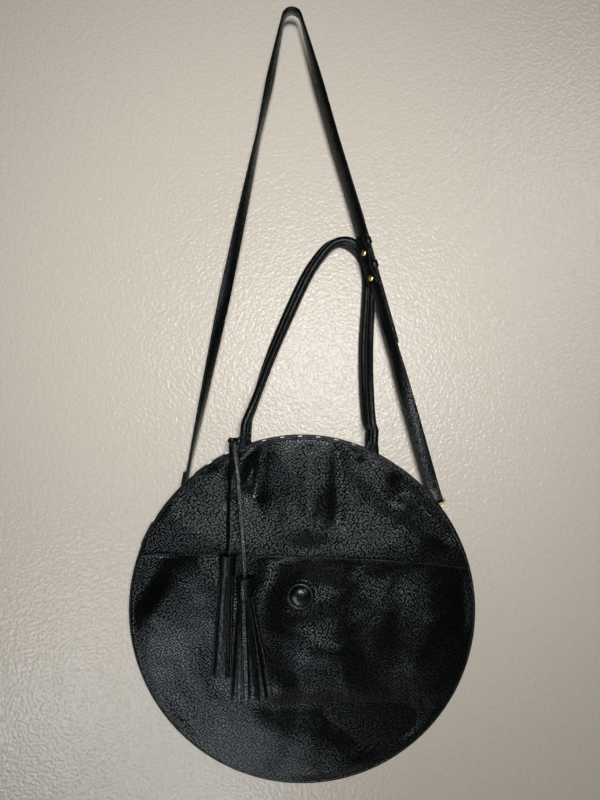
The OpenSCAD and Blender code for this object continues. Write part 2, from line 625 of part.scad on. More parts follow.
function flat_station(p, out, turn, offset) = let (
        width_dir = cos(turn) * out + sin(turn) * [0, 1, 0],
        face_dir = -sin(turn) * out + cos(turn) * [0, 1, 0]
    )
    [p + face_dir * offset, width_dir * strap_w / 2, face_dir * strap_t / 2];
function right_station(s, offset) =
    flat_station(on_right(s), outward(right_lean, 1), lookup(s, right_turn_shares), offset);
function left_station(s) =
    flat_station(on_left(s), outward(left_lean, -1), lookup(s, left_turn_shares), 0);
left_fold_share = 1 - (fold_len - over) / left_len;
right_fold_share = 1 - (fold_len - over) / right_len;
leg_steps = 26;
arc_steps = 10;
left_arc = 180 + left_lean;
right_arc = right_lean;
long_stations = concat(
    [for (i = [leg_steps:-1:1]) left_station(left_fold_share * i / leg_steps)],
    [for (i = [0:arc_steps]) let (a = mix(left_arc, right_arc, i / arc_steps), out = [cos(a), 0, sin(a)])
        flat_station(apex_at + mid_r * out, out, -90, 0)],
    [for (i = [1:leg_steps]) let (s = tail_share * i / leg_steps)
        right_station(s, layer * lookup(s, long_offset_shares))]);
lower_stations = [for (i = [0:leg_steps])
    right_station(mix(adjuster_share, right_fold_share, i / leg_steps), 0)];

module at_right_leg(s) translate(on_right(s)) rotate([0, -right_lean, 0])
    rotate([0, 0, lookup(s, right_turn_shares)]) children();
module stud_holes() for (k = [0, 1]) at_right_leg(stud_share + k * stud_pitch / right_len)
    rotate([90, 0, 0]) translate([0, 0, -4 * layer]) cylinder(8 * layer, stud_post_r + stud_gap, stud_post_r + stud_gap);

// The strap's end, folded round the eye's bar and stitched to itself
fold_out = eye_wire + bar_gap + strap_t;
neck_share = 0.4;
module fold_end() rotate([0, 90, 0]) rotate([0, 0, 90]) translate([0, 0, -strap_w / 2])
    linear_extrude(strap_w) difference() {
        union() {
            circle(fold_out);
            polygon([[-fold_out, 0], [-strap_t / 2, fold_len * neck_share], [-strap_t / 2, fold_len],
                [strap_t / 2, fold_len], [strap_t * 3 / 2, fold_len - strap_t],
                [strap_t * 3 / 2, fold_len * neck_share], [fold_out, 0]]);
        }
        circle(eye_wire + bar_gap);
    }
module long_strap() color(leather) {
    difference() {
        sweep(long_stations, square_shares);
        stud_holes();
    }
    translate(left_eye_at) rotate([0, -left_lean, 0]) rotate([0, 0, left_end_turn]) fold_end();
}
module lower_strap() color(leather) {
    difference() {
        sweep(lower_stations, square_shares);
        stud_holes();
    }
    translate(right_eye_at) rotate([0, -right_lean, 0]) fold_end();
}
// The tab lies over the keepers, on the front of the lower strap at the adjuster
tab_seat = strap_t / 2 + keeper_t + 2 * keeper_gap;
module stud_tab() color(leather) difference() {
    at_right_leg(adjuster_share + tab_len / right_len)
        translate([-strap_w / 2, -tab_seat - strap_t, 0]) cube([strap_w, strap_t, tab_len]);
    stud_holes();
}
front_of_tab = tab_seat + strap_t + lay_gap;
back_of_long = layer + strap_t / 2 + lay_gap;
module strap_studs() color(brass) for (k = [0, 1])
    at_right_leg(stud_share + k * stud_pitch / right_len) rotate([90, 0, 0]) {
        translate([0, 0, front_of_tab]) snap_dome(stud_head_r, stud_head_t);
        translate([0, 0, -back_of_long]) cylinder(front_of_tab + back_of_long, stud_post_r, stud_post_r);
        translate([0, 0, -back_of_long - stud_head_t / 2]) cylinder(stud_head_t / 2, stud_head_r, stud_head_r);
    }
module keeper() {
    inner_w = strap_w + 2 * keeper_gap;
    y0 = -strap_t / 2 - keeper_gap;
    y1 = strap_t / 2 + layer + keeper_gap;
    difference() {
        translate([-inner_w / 2 - keeper_t, y0 - keeper_t, -keeper_len / 2])
            cube([inner_w + 2 * keeper_t, y1 - y0 + 2 * keeper_t, keeper_len]);
        translate([-inner_w / 2, y0, -keeper_len]) cube([inner_w, y1 - y0, 2 * keeper_len]);
    }
}
loose_share = stud_share + stud_pitch / 2 / right_len;
fixed_share = adjuster_share + keeper_len / right_len;
module fixed_keeper() color(leather) at_right_leg(fixed_share) keeper();
module loose_keeper() color(leather) at_right_leg(loose_share) keeper();

/* Lace and tassels */
loop_z = end_z + stub_h / 2;
loop_r = handle_r + bar_gap + loop_wire;
turn_share = 1.7;
knot_at = [-end_x - loop_r - knot_r / 2, -seam_y - loop_r, loop_z - loop_wire];
module lace_loop() color(leather) on_bag() {
    translate([-end_x, -seam_y, loop_z]) {
        rotate_extrude() translate([loop_r, 0]) circle(loop_wire, $fn = 24);
        translate([0, 0, -loop_wire * turn_share]) rotate_extrude() translate([loop_r, 0]) circle(loop_wire, $fn = 24);
    }
    translate(knot_at) sphere(knot_r);
    translate(knot_at) rotate([0, 30, 45]) rotate_extrude() translate([knot_r, 0]) circle(loop_wire, $fn = 24);
}
// Both laces leave the knot side by side and hang to their caps
hang_z = knot_at[2] - knot_r - bend_gap - core_gap;
lace_outline_shares = [[1, 0.5], [1, -0.5], [0.7, -1], [-0.7, -1], [-1, -0.5], [-1, 0.5], [-0.7, 1], [0.7, 1]];
lace_drop_shares = [0, 0.04, 0.1, 0.2, 0.35, 0.5, 0.65, 0.8, 0.92, 1];
// The knot pinches each lace's top, so that it swings clear
lace_thin_shares = [[0, 0.4], [0.04, 1], [1, 1]];
function lace_stations(top, bottom) = [for (s = lace_drop_shares)
    let (p = [mix(top[0], bottom[0], s), mix(top[1], bottom[1], s) + lace_t * sin(180 * s), mix(top[2], bottom[2], s)])
    [p, [lace_w / 2, 0, 0], [0, lace_t / 2 * lookup(s, lace_thin_shares), 0]]];
lace_top_left = [knot_at[0] - (lace_w + bar_gap) / 2, knot_at[1], hang_z];
lace_top_right = [knot_at[0] + (lace_w + bar_gap) / 2, knot_at[1], hang_z];
left_cap_at = [-left_cap_x, -tassel_front, left_cap_z];
right_cap_at = [-right_cap_x, -tassel_front, right_cap_z];
function cap_top(at) = at + [0, 0, cap_h / 2 + lay_gap];
module lace(top, cap) on_bag() sweep(lace_stations(top, cap_top(cap)), lace_outline_shares);
module left_lace() color(leather) lace(lace_top_left, left_cap_at);
module right_lace() color(leather) lace(lace_top_right, right_cap_at);
module tassel_cap(at) on_bag() translate(at - [0, 0, cap_h / 2]) difference() {
    cylinder(cap_h, cap_r, cap_r);
    translate([0, 0, -over]) cylinder(over + cap_h - 2 * strip_t, cap_r - strip_t, cap_r - strip_t);
}
module left_tassel_cap() color(leather) tassel_cap(left_cap_at);
module right_tassel_cap() color(leather) tassel_cap(right_cap_at);
// Strips fan out from a plug inside the cap, in rows from front to back
plug_r = cap_r - strip_t - lay_gap;
rows = 3;
plug_below = 2 * over;
module tassel_skirt(at, count, from, to) on_bag() translate(at - [0, 0, cap_h / 2]) {
    translate([0, 0, -plug_below]) cylinder(cap_h - 2 * strip_t - lay_gap + plug_below, plug_r, plug_r);
    for (row = [0:rows - 1], i = [0:count - 1])
        let (share = (i + 0.5) / count, y = mix(-plug_r + strip_t, plug_r - 2 * strip_t, row / (rows - 1)))
            translate([mix(-plug_r, plug_r, share), y, 0]) rotate([0, mix(from, to, share), 0])
                translate([-strip_w / 2, 0, -skirt_len]) cube([strip_w, strip_t, skirt_len - over]);
}
module left_tassel_skirt() color(leather) tassel_skirt(left_cap_at, 4, 1.5, 0);
module right_tassel_skirt() color(leather) tassel_skirt(right_cap_at, 5, 0, -15);

long_strap();
lower_strap();
stud_tab();
strap_studs();
fixed_keeper();
loose_keeper();
left_strap_eye();
left_hook();
left_gate_pin();
left_gate_spring();
left_gate();
right_strap_eye();
right_hook();
right_gate_pin();
right_gate_spring();
right_gate();
left_d_ring();
right_d_ring();
left_ring_tab();
right_ring_tab();
front_panel();
pocket_panel();
pocket_hem();
gusset();
back_panel_lower();
front_piping();
back_piping();
front_mouth_binding();
front_lining();
gusset_lining();
back_lining_lower();
snap_cover();
snap_cap();
snap_socket();
snap_washer();
front_handle_ends();
front_patches();
front_magnet();
back_panel_upper();
back_lining_upper();
back_mouth_binding();
back_handle_ends();
back_patches();
back_magnet();
front_handle();
front_handle_core();
back_handle();
back_handle_core();
lace_loop();
left_lace();
left_tassel_cap();
left_tassel_skirt();
right_lace();
right_tassel_cap();
right_tassel_skirt();
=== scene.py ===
# %% [markdown]
# # A round leather tote, hung by its strap
#
# The bag is two round leather panels with a gusset between them, a slip pocket with a covered snap,
# two rolled handles, a knotted lace with two tassels and a long strap with swivel hooks.
# Every length below is in millimetres, and each finished piece is turned into metres once, at its end.

# %% The frame and the scale
import bmesh
import bpy
import random
from math import asin, atan2, cos, degrees, exp, hypot, pi, radians, sin, sqrt, tan
from mathutils import Matrix, Vector, noise


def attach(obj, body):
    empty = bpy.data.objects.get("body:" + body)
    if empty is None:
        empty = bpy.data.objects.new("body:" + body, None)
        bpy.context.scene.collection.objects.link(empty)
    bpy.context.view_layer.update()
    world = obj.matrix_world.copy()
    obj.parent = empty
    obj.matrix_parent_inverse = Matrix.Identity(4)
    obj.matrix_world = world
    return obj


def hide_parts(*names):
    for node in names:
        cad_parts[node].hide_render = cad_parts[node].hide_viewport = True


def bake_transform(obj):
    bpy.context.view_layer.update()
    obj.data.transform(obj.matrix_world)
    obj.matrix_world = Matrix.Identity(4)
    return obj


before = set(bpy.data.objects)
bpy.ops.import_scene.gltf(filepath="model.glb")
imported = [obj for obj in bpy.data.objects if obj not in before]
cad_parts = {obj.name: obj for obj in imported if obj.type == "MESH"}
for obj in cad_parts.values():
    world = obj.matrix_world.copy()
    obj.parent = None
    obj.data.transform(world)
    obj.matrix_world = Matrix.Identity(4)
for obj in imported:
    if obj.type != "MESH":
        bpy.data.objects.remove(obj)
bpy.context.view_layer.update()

random.seed(7)

# %% [markdown]
# ## The camera
#
# The photograph was taken by a phone held level at the handles' height, about 0.74 m from the wall. Its wide
# lens makes the near tassels look large, so the lens is worked out from the picture.

# %% Camera
PICTURE = (600, 800)
FOCAL_PIXELS = 601
SENSOR = 36
EYE = (0.0098, -0.736, -0.475)
camera_data = bpy.data.cameras.new("camera")
camera_data.sensor_fit = "AUTO"
camera_data.sensor_width = SENSOR
camera_data.lens = SENSOR * FOCAL_PIXELS / max(PICTURE)
camera = bpy.data.objects.new("camera", camera_data)
camera.location = EYE
camera.rotation_euler = (radians(90), 0, 0)
bpy.context.collection.objects.link(camera)
bpy.context.scene.camera = camera
bpy.context.scene.view_settings.view_transform = "Standard"
print("lens", round(camera_data.lens, 2), "mm")

# %% [markdown]
# ## Helpers
#
# The bag hangs with a slight turn on its strap. Its pieces are modelled upright round the bag's own middle,
# where a circle is a circle, and one matrix then hangs them where the CAD has them.

# %% Places
BAG_MIDDLE = (12.2, 0, -723.4)
BAG_TURN = radians(2.4)
TO_METRES = Matrix.Scale(0.001, 4)
HUNG = TO_METRES @ Matrix.Translation(BAG_MIDDLE) @ Matrix.Rotation(BAG_TURN, 4, "Y")
SHARP_ANGLE = radians(45)
ORDER = Vector((0.36, 0.48, -0.8))


def new_object(name, bm, paint):
    """Turns a bmesh into an object of one paint"""
    mesh = bpy.data.meshes.new(name)
    bm.to_mesh(mesh)
    bm.free()
    mesh.materials.append(paint)
    made = bpy.data.objects.new(name, mesh)
    bpy.context.collection.objects.link(made)
    return made


def piece(name, bm, body, paint, nodes=(), place=HUNG):
    """Turns a bmesh in millimetres into a finished piece in metres that rides on a body"""
    bmesh.ops.transform(bm, matrix=place, verts=bm.verts)
    bmesh.ops.recalc_face_normals(bm, faces=bm.faces)
    # Extrusions come out in another order on each run, so the points and faces are put in order
    bm.verts.sort(key=lambda vert: vert.co.dot(ORDER))
    bm.faces.sort(key=lambda face: face.calc_center_median().dot(ORDER))
    made = new_object(name, bm, paint)
    made.data.shade_smooth()
    made.data.set_sharp_from_angle(angle=SHARP_ANGLE)
    if body:
        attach(made, body)
    if nodes:
        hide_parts(*nodes)
    print(name, len(made.data.polygons), "faces")
    return made


def leather_piece(*about, **more):
    """A piece of black leather, made as any other piece"""
    return piece(*about, **more)


def clamp(value, low=0.0, high=1.0):
    return max(low, min(high, value))


def ease(share):
    share = clamp(share)
    return share * share * (3 - 2 * share)


def mix(a, b, share):
    return a + (b - a) * share


def table(pairs, at):
    """The value between the pairs of a table, as OpenSCAD's lookup"""
    if at <= pairs[0][0]:
        return pairs[0][1]
    for (x0, y0), (x1, y1) in zip(pairs, pairs[1:]):
        if at <= x1:
            return mix(y0, y1, (at - x0) / (x1 - x0))
    return pairs[-1][1]


def spline(points, steps):
    """A smooth line through points"""
    p = [Vector(q) for q in points]
    line = []
    for i in range(len(p) - 1):
        a, b, c, d = p[max(i - 1, 0)], p[i], p[i + 1], p[min(i + 2, len(p) - 1)]
        for k in range(steps):
            t = k / steps
            line.append(0.5 * (2 * b + (c - a) * t + (2 * a - 5 * b + 4 * c - d) * t * t
                               + (3 * b - a - 3 * c + d) * t ** 3))
    return line + [p[-1]]


def polar(radius, angle):
    """A point of an upright circle round the origin, its angle in degrees"""
    a = radians(angle)
    return Vector((radius * cos(a), 0, radius * sin(a)))


def heading(line, i, closed=False):
    """The direction of a line at its point i"""
    if closed:
        return (line[(i + 1) % len(line)] - line[i - 1]).normalized()
    return (line[min(i + 1, len(line) - 1)] - line[max(i - 1, 0)]).normalized()


# %% [markdown]
# Straps, tubes and strips are all one outline carried along a line of stations. Extruding the edge ring and
# moving each new ring by the matrix from one station to the next keeps the outline's corners in line, which
# a curve's bevel doesn't do on a strap that turns. What is round is a line of points spun round an axis.

# %% Sweeping and spinning
def station_matrix(centre, across, depth):
    along = across.cross(depth).normalized()
    return Matrix.Translation(centre) @ Matrix((across, depth, along)).transposed().to_4x4()


def verts_of(geom):
    return [g for g in geom if isinstance(g, bmesh.types.BMVert)]


def sweep(stations, outline, closed=False, bm=None):
    """Extrudes an outline through stations, each a centre and two half axes"""
    bm = bm or bmesh.new()
    ring = bmesh.ops.create_circle(bm, segments=len(outline), radius=1)["verts"]
    places = [station_matrix(*s) for s in stations]
    for vert, (a, b) in zip(ring, outline):
        vert.co = places[0] @ Vector((a, b, 0))
    first = list(dict.fromkeys(e for v in ring for e in v.link_edges))
    edges = first
    for before, after in zip(places, places[1:]):
        made = bmesh.ops.extrude_edge_only(bm, edges=edges)["geom"]
        edges = [g for g in made if isinstance(g, bmesh.types.BMEdge)]
        bmesh.ops.transform(bm, matrix=after @ before.inverted(), verts=verts_of(made))
    if closed:
        bmesh.ops.bridge_loops(bm, edges=first + edges)
    else:
        bmesh.ops.edgeloop_fill(bm, edges=first)
        bmesh.ops.edgeloop_fill(bm, edges=edges)
    return bm


def lathe(points, axis, steps, turn=2 * pi, cent=(0, 0, 0), closed=False, merge=False):
    """Spins a line of points round an axis"""
    bm = bmesh.new()
    verts = [bm.verts.new(p) for p in points]
    edges = [bm.edges.new(pair) for pair in zip(verts, verts[1:] + (verts[:1] if closed else []))]
    bmesh.ops.spin(bm, geom=verts + edges, cent=cent, axis=axis, angle=turn, steps=steps, use_merge=merge)
    return bm


def round_outline(count):
    return [(cos(2 * pi * i / count), sin(2 * pi * i / count)) for i in range(count)]


STRAP_OUTLINE = [(1, 0.4), (0.985, 0.75), (0.93, 1), (0, 1), (-0.93, 1), (-0.985, 0.75), (-1, 0.4),
                 (-1, -0.4), (-0.985, -0.75), (-0.93, -1), (0, -1), (0.93, -1), (0.985, -0.75), (1, -0.4)]


def flat_line(points, up, width, thick, closed=False):
    """Stations of a tube along points, with one half axis as near as it can be to the vector up"""
    stations = []
    for i, p in enumerate(points):
        along = heading(points, i, closed)
        across = along.cross(Vector(up)).normalized()
        stations.append((p, across * width, along.cross(across) * -thick))
    return stations


# %% [markdown]
# Stitches are small raised stitches of waxed thread, not a painted line: at this distance they show as a
# row of dots that catch the light. One stitch is a bevelled block, copied along a seam.

# %% Stitching
def stitches(name, seams, body, pitch, size=(2.6, 0.8, 0.7), place=HUNG):
    """Seams are lists of (point, outward normal); one small stitch sits at each pitch"""
    bm = bmesh.new()
    bmesh.ops.create_cube(bm, size=1)
    bmesh.ops.bevel(bm, geom=bm.edges[:], offset=0.32, segments=2, profile=0.5, affect="EDGES", material=-1)
    bmesh.ops.scale(bm, vec=size, verts=bm.verts)
    pattern = bm.verts[:] + bm.edges[:] + bm.faces[:]
    for seam in seams:
        walked, due = 0.0, pitch / 2
        for (p, up), (q, _) in zip(seam, seam[1:]):
            step = (q - p).length
            while step > 0 and walked + step >= due:
                at = p.lerp(q, (due - walked) / step)
                along = (q - p).normalized()
                side = Vector(up).cross(along).normalized()
                turn = Matrix((along, side, along.cross(side))).transposed().to_4x4()
                copy = bmesh.ops.duplicate(bm, geom=pattern)["geom"]
                bmesh.ops.transform(bm, matrix=Matrix.Translation(at) @ turn, verts=verts_of(copy))
                due += pitch
            walked += step
    bmesh.ops.delete(bm, geom=verts_of(pattern), context="VERTS")
    return leather_piece(name, bm, body, THREAD, place=place)


# %% [markdown]
# ## Materials
#
# The leather is drum-dyed black cowhide with a printed pebble grain about 3 mm across. A photograph
# can't be used as a texture, so the grain is made of Voronoi cells: each is a small dome, the lines between
# are creases, and the tops are polished by handling while the creases stay dull.

# %% Leather
CREASE_SHADE_COLOUR, TOP_COLOUR = (0.0006, 0.0008, 0.0010, 1), (0.0024, 0.0030, 0.0034, 1)
WANDER = 0.0008


def new_paint(name):
    paint = bpy.data.materials.new(name)
    paint.use_nodes = True
    nodes = paint.node_tree.nodes
    return paint, nodes, nodes["Principled BSDF"]


def feed(node, inputs):
    """Sets a node's inputs, or links them where the value is another node's output"""
    for key, value in inputs.items():
        if isinstance(value, bpy.types.NodeSocket):
            node.id_data.links.new(value, node.inputs[key])
        else:
            node.inputs[key].default_value = value


def add(nodes, kind, output, inputs={}, **settings):
    """Makes a shader node and returns one of its outputs"""
    node = nodes.new("ShaderNode" + kind)
    for key, value in settings.items():
        setattr(node, key, value)
    feed(node, inputs)
    return node.outputs[output]


def ramp(nodes, value, end, start=(0, 1), **settings):
    """Maps the range start of a value onto the range end"""
    inputs = {"From Min": start[0], "From Max": start[1], "To Min": end[0], "To Max": end[1], "Value": value}
    return add(nodes, "MapRange", "Result", inputs, **settings)


def leather(name, grain=3.0, depth=0.25, dull=(0.3, 0.19), gloss=(0.05, 0.25), wrinkle=0.3, flat=False):
    """Pebbled leather. Grain, depth and wrinkle are in mm; dull and gloss are (crease, top)"""
    paint, nodes, shader = new_paint(name)
    here = add(nodes, "TexCoord", "Object")
    # The cells' corners wander a little, or they would look like a net
    wander = add(nodes, "TexNoise", "Color", {"Scale": 1000 / (grain * 2.2), "Detail": 1, "Vector": here})
    # On a panel the cells are laid out in its own plane, because a slice through solid cells is uneven
    turn = (radians(90), 0, radians(33)) if flat else (0, 0, 0)
    fit = add(nodes, "Mapping", "Vector", {"Rotation": turn, "Scale": (1, 1, 1.12), "Vector": here})
    shift = add(nodes, "VectorMath", "Vector", {0: wander, 1: [WANDER] * 3, 2: fit}, operation="MULTIPLY_ADD")
    cells = add(nodes, "TexVoronoi", "Distance",
                {"Randomness": 0.66 if flat else 0.85, "Scale": 1000 / grain, "Vector": shift},
                feature="F1", voronoi_dimensions="2D" if flat else "3D")
    dome = ramp(nodes, cells, (1, 0), (0.1, 0.56 if flat else 0.78), interpolation_type="SMOOTHSTEP")
    # Broad soft wrinkles under the grain
    waves = add(nodes, "TexNoise", "Fac", {"Scale": 34, "Detail": 3, "Roughness": 0.45, "Vector": here})
    low = add(nodes, "Bump", "Normal", {"Strength": 0.5, "Distance": wrinkle * 0.001, "Height": waves})
    high = add(nodes, "Bump", "Normal",
               {"Strength": 0.75, "Distance": depth * 0.001, "Height": dome, "Normal": low})
    # The creases are painted darker than the tops, a painted shade, and the noise varies the tone at random
    crease_shade_and_tone = add(nodes, "Math", "Value", {0: dome, 1: waves}, operation="MULTIPLY")
    shade = add(nodes, "Mix", "Result", {"A": CREASE_SHADE_COLOUR, "B": TOP_COLOUR, "Factor": crease_shade_and_tone}, data_type="RGBA")
    # A crease lies in its own shade, so it hardly mirrors anything
    feed(shader, {"Normal": high, "Base Color": shade, "Roughness": ramp(nodes, dome, dull),
                  "Specular IOR Level": ramp(nodes, dome, gloss), "Specular Tint": (0.86, 0.95, 1.0, 1)})
    return paint


BODY_LEATHER = leather("body_leather")
PANEL_LEATHER = leather("panel_leather", flat=True)
SNAP_LEATHER = leather("snap_leather", 2.4, 0.1, gloss=(0.14, 0.42), flat=True)
STRAP_LEATHER = leather("strap_leather", 2.1, 0.2, (0.42, 0.26), (0.05, 0.34), wrinkle=0.5)
HANDLE_LEATHER = leather("handle_leather", 1.8, 0.14, (0.42, 0.28), (0.06, 0.34), wrinkle=0.5)
TASSEL_LEATHER = leather("tassel_leather", 2.1, 0.2, (0.4, 0.25), (0.05, 0.38), wrinkle=0.6)
print("leathers made")

# %% [markdown]
# The lining is a woven cotton with white stripes about 5 mm wide, one every 22.6 mm. Their dashes above the
# rim are the only bright marks on the bag. The front lining's own dashes, on the left rim, stand a little
# closer, so it has its own pitch.

# %% Lining, thread, rope and metal
STRIPE_WIDTH, STRIPE_BLUR = 5.0, 0.008


def striped_cloth(name, pitch, at):
    """Cotton with a white stripe every pitch, one of them at a distance from the bag's middle"""
    paint, nodes, shader = new_paint(name)
    turned = add(nodes, "Mapping", "Vector",
                 {"Location": [c * 0.001 for c in BAG_MIDDLE], "Rotation": (0, BAG_TURN, 0),
                  "Vector": add(nodes, "TexCoord", "Object")}, vector_type="TEXTURE")
    across = add(nodes, "SeparateXYZ", "X", {"Vector": turned})
    count = add(nodes, "Math", "Value", {0: across, 1: 1000 / pitch, 2: -at / pitch}, operation="MULTIPLY_ADD")
    away = add(nodes, "Math", "Value", {0: count, 1: 0.5}, operation="PINGPONG")
    half = STRIPE_WIDTH / pitch / 2
    stripe = ramp(nodes, away, (1, 0), (half - STRIPE_BLUR, half + STRIPE_BLUR))
    shade = add(nodes, "Mix", "Result", {"A": (0.012, 0.012, 0.014, 1), "B": (0.72, 0.71, 0.68, 1),
                                         "Factor": stripe}, data_type="RGBA")
    # Warp and weft, 0.6 mm apart
    warp, weft = [add(nodes, "TexWave", "Fac", {"Scale": 520, "Vector": turned}, bands_direction=way)
                  for way in ("X", "Z")]
    weave = add(nodes, "Math", "Value", {0: warp, 1: weft}, operation="MULTIPLY")
    bump = add(nodes, "Bump", "Normal", {"Distance": 0.00015, "Height": weave})
    feed(shader, {"Base Color": shade, "Roughness": 0.85, "Sheen Weight": 0.2, "Normal": bump})
    return paint


def noisy(name, colour_a, colour_b, scale, rough, metallic=0.0, bump=0.0, detail=3, sheen=0.0):
    """A paint whose colour, roughness and relief wander together"""
    paint, nodes, shader = new_paint(name)
    spots = add(nodes, "TexNoise", "Fac",
                {"Scale": scale, "Detail": detail, "Vector": add(nodes, "TexCoord", "Object")})
    shade = add(nodes, "Mix", "Result", {"A": (*colour_a, 1), "B": (*colour_b, 1), "Factor": spots},
                data_type="RGBA")
    feed(shader, {"Base Color": shade, "Roughness": ramp(nodes, spots, rough), "Metallic": metallic,
                  "Sheen Weight": sheen})
    if bump:
        feed(shader, {"Normal": add(nodes, "Bump", "Normal", {"Distance": bump * 0.001, "Height": spots})})
    return paint


CLOTH = striped_cloth("striped_cloth", 22.6, 12.0)
FRONT_CLOTH = striped_cloth("front_striped_cloth", 20.8, 7.7)
THREAD = noisy("waxed_thread", (0.014, 0.016, 0.017), (0.03, 0.033, 0.035), 1400, (0.42, 0.6), bump=0.12)
ROPE = noisy("cotton_rope", (0.42, 0.36, 0.26), (0.62, 0.55, 0.42), 900, (0.8, 0.95), bump=0.3, sheen=0.2)
BRASS = noisy("brass", (0.62, 0.45, 0.20), (0.40, 0.28, 0.12), 420, (0.24, 0.42), metallic=1.0, bump=0.02)
STEEL = noisy("steel", (0.62, 0.62, 0.6), (0.45, 0.45, 0.44), 520, (0.22, 0.4), metallic=1.0, bump=0.02)
for paint, names in (
        (BRASS, ("strap_studs", "left_strap_eye", "right_strap_eye", "left_hook", "right_hook", "left_gate",
                 "right_gate", "left_d_ring", "right_d_ring", "snap_cap", "snap_socket", "snap_washer")),
        (STEEL, ("left_gate_pin", "right_gate_pin", "left_gate_spring", "right_gate_spring", "front_magnet",
                 "back_magnet"))):
    for name in names:
        for material_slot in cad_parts[name].material_slots:
            material_slot.material = paint
print("metal nodes painted")

# %% [markdown]
# ## The round panels
#
# Each panel is one skin of soft leather. A line of points spun into a disc gives even rings out to the
# seam, and then every point moves to its place on a slightly swollen surface, pushed out or in by folds. The
# folds are long soft ridges, fitted by number so that the leather is light and dark where it is in the
# photograph.

# %% Folds
PANEL_R, SKIN_R, FRONT_FACE, LAY_GAP = 201.2, 202.4, 24.7, 0.2
SKIN_T, CLOTH_T, SWELL, POCKET_SWELL = 2.2, 0.8, 6, 15
HALF_GUSSET, INSIDE_FACE, LINING_R = 22.5, 21.3, 197.6
# Each fold is its two ends (x, z) from the bag's middle, its width and its height
UPPER_FOLDS = [
    (-45, 182, -17, 178, 16, 1.1), (-58, 132, -35, 145, 14, -1.7), (2, 184, 4, 119, 11, 2.6),
    (37, 191, 37, 106, 10, -3.5), (55, 188, 92, 148, 21, 4.2), (67, 177, 105, 140, 10, -3.6),
    (67, 123, 46, 116, 26, -2.6), (108, 155, 165, 91, 10, -3.6), (-137, 72, -160, 111, 18, 1.9),
    (-54, 183, -60, 133, 10, -3.6), (-71, 191, -88, 151, 10, 3.6), (-107, 184, -91, 129, 13, -3.3),
    (115, 127, 162, 85, 10, 3.6), (-23, 91, 33, 89, 18, 3.6), (-103, 152, -148, 112, 16, -1.9),
    (-98, 112, -58, 155, 28, -4.2), (38, 52, -8, 103, 18, 2), (32, 70, -56, 117, 30, -4.2),
    (98, 98, 60, 152, 14, -1.2), (-84, 104, -54, 146, 17, -1.1), (12, 105, -43, 98, 13, 1.7),
    (-81, 104, -47, 148, 12, 1.3), (6, 95, -46, 102, 12, -1.1), (15, 58, -35, 62, 14, 0.3),
]
POCKET_FOLDS = [
    (-169, 60, -182, 26, 17, -4.2), (-169, -23, -122, -28, 21, 1.7), (-173, -50, -133, -58, 15, 1.2),
    (-168, -98, -134, -81, 15, 1.5), (-150, -98, -118, -134, 19, -2.4), (-101, 0, -96, -92, 15, -2.3),
    (-103, -172, -76, -164, 15, -0.7), (-41, -260, 66, -178, 21, 4.2), (16, -42, 30, -44, 16, 3.2),
    (68, 56, 84, 46, 25, -4.2), (149, 26, 139, 14, 15, 0.4), (96, -91, 78, -132, 27, -4.2),
    (146, -88, 184, -88, 15, 1), (193, 44, 200, -4, 15, -4.2), (2, -6, 22, -2, 15, -2), (4, 46, 52, 23, 17, -2.3),
    (-70, 40, -47, 20, 15, -0.9), (-83, -11, -24, -88, 18, 4.2), (46, -127, 123, -124, 21, -4.2),
    (-30, -113, 48, -103, 16, -4.2), (-174, -10, -161, 12, 16, 4.2), (69, -50, 99, -3, 17, 1.7),
    (54, -98, 47, -48, 15, 3), (-52, -10, -34, 59, 18, 4.2), (141, -50, 156, -9, 20, 4.2),
    (-38, -21, -43, 25, 17, 3.5), (63, -115, 0, -122, 20, -3.9), (109, 3, 111, 53, 18, -2.4),
    (-95, -9, -121, 40, 25, 4.2), (81, -148, 135, -102, 24, -3.2), (-182, -17, -139, 4, 16, 1.1),
    (73, -47, 64, 3, 20, -2.9), (55, -106, 44, -62, 16, -1.9), (-184, -20, -143, -2, 16, 0.4),
    (136, -2, 130, 49, 16, -0.9), (-62, -8, -46, 42, 16, 1), (139, -54, 127, -4, 18, 1.6),
]
BACK_FOLDS = [
    (-76, 192, -74, 136, 7, 3.0), (76, 192, 74, 140, 7, 3.0), (-40, 180, 40, 184, 12, 2.0),
    (-60, 120, 50, 100, 24, -2.4), (-120, 60, -60, -20, 18, -2.0), (60, 40, 120, -40, 20, -2.4),
    (-90, -90, 10, -120, 18, 2.2), (40, -60, 100, -110, 14, 1.8), (-150, 20, -120, -60, 10, 1.8),
]


def fold_height(folds, x, z):
    """How far the folds push a point of a panel outwards"""
    height = 0.0
    for x0, z0, x1, z1, width, push in folds:
        dx, dz = x1 - x0, z1 - z0
        along = clamp(((x - x0) * dx + (z - z0) * dz) / (dx * dx + dz * dz))
        away = hypot(x - x0 - along * dx, z - z0 - along * dz) / width
        if away < 2.6:
            height += push * exp(-away * away)
    return height


def soft(x, z, seed):
    """Small unevenness of a soft skin, in millimetres"""
    return 0.8 * noise.noise(Vector((x / 38, seed, z / 38))) + 0.35 * noise.noise(Vector((x / 13, seed, z / 13)))


def calm(x, z, width=9):
    """0 at the seam, 1 away from it"""
    return ease((PANEL_R - hypot(x, z)) / width)


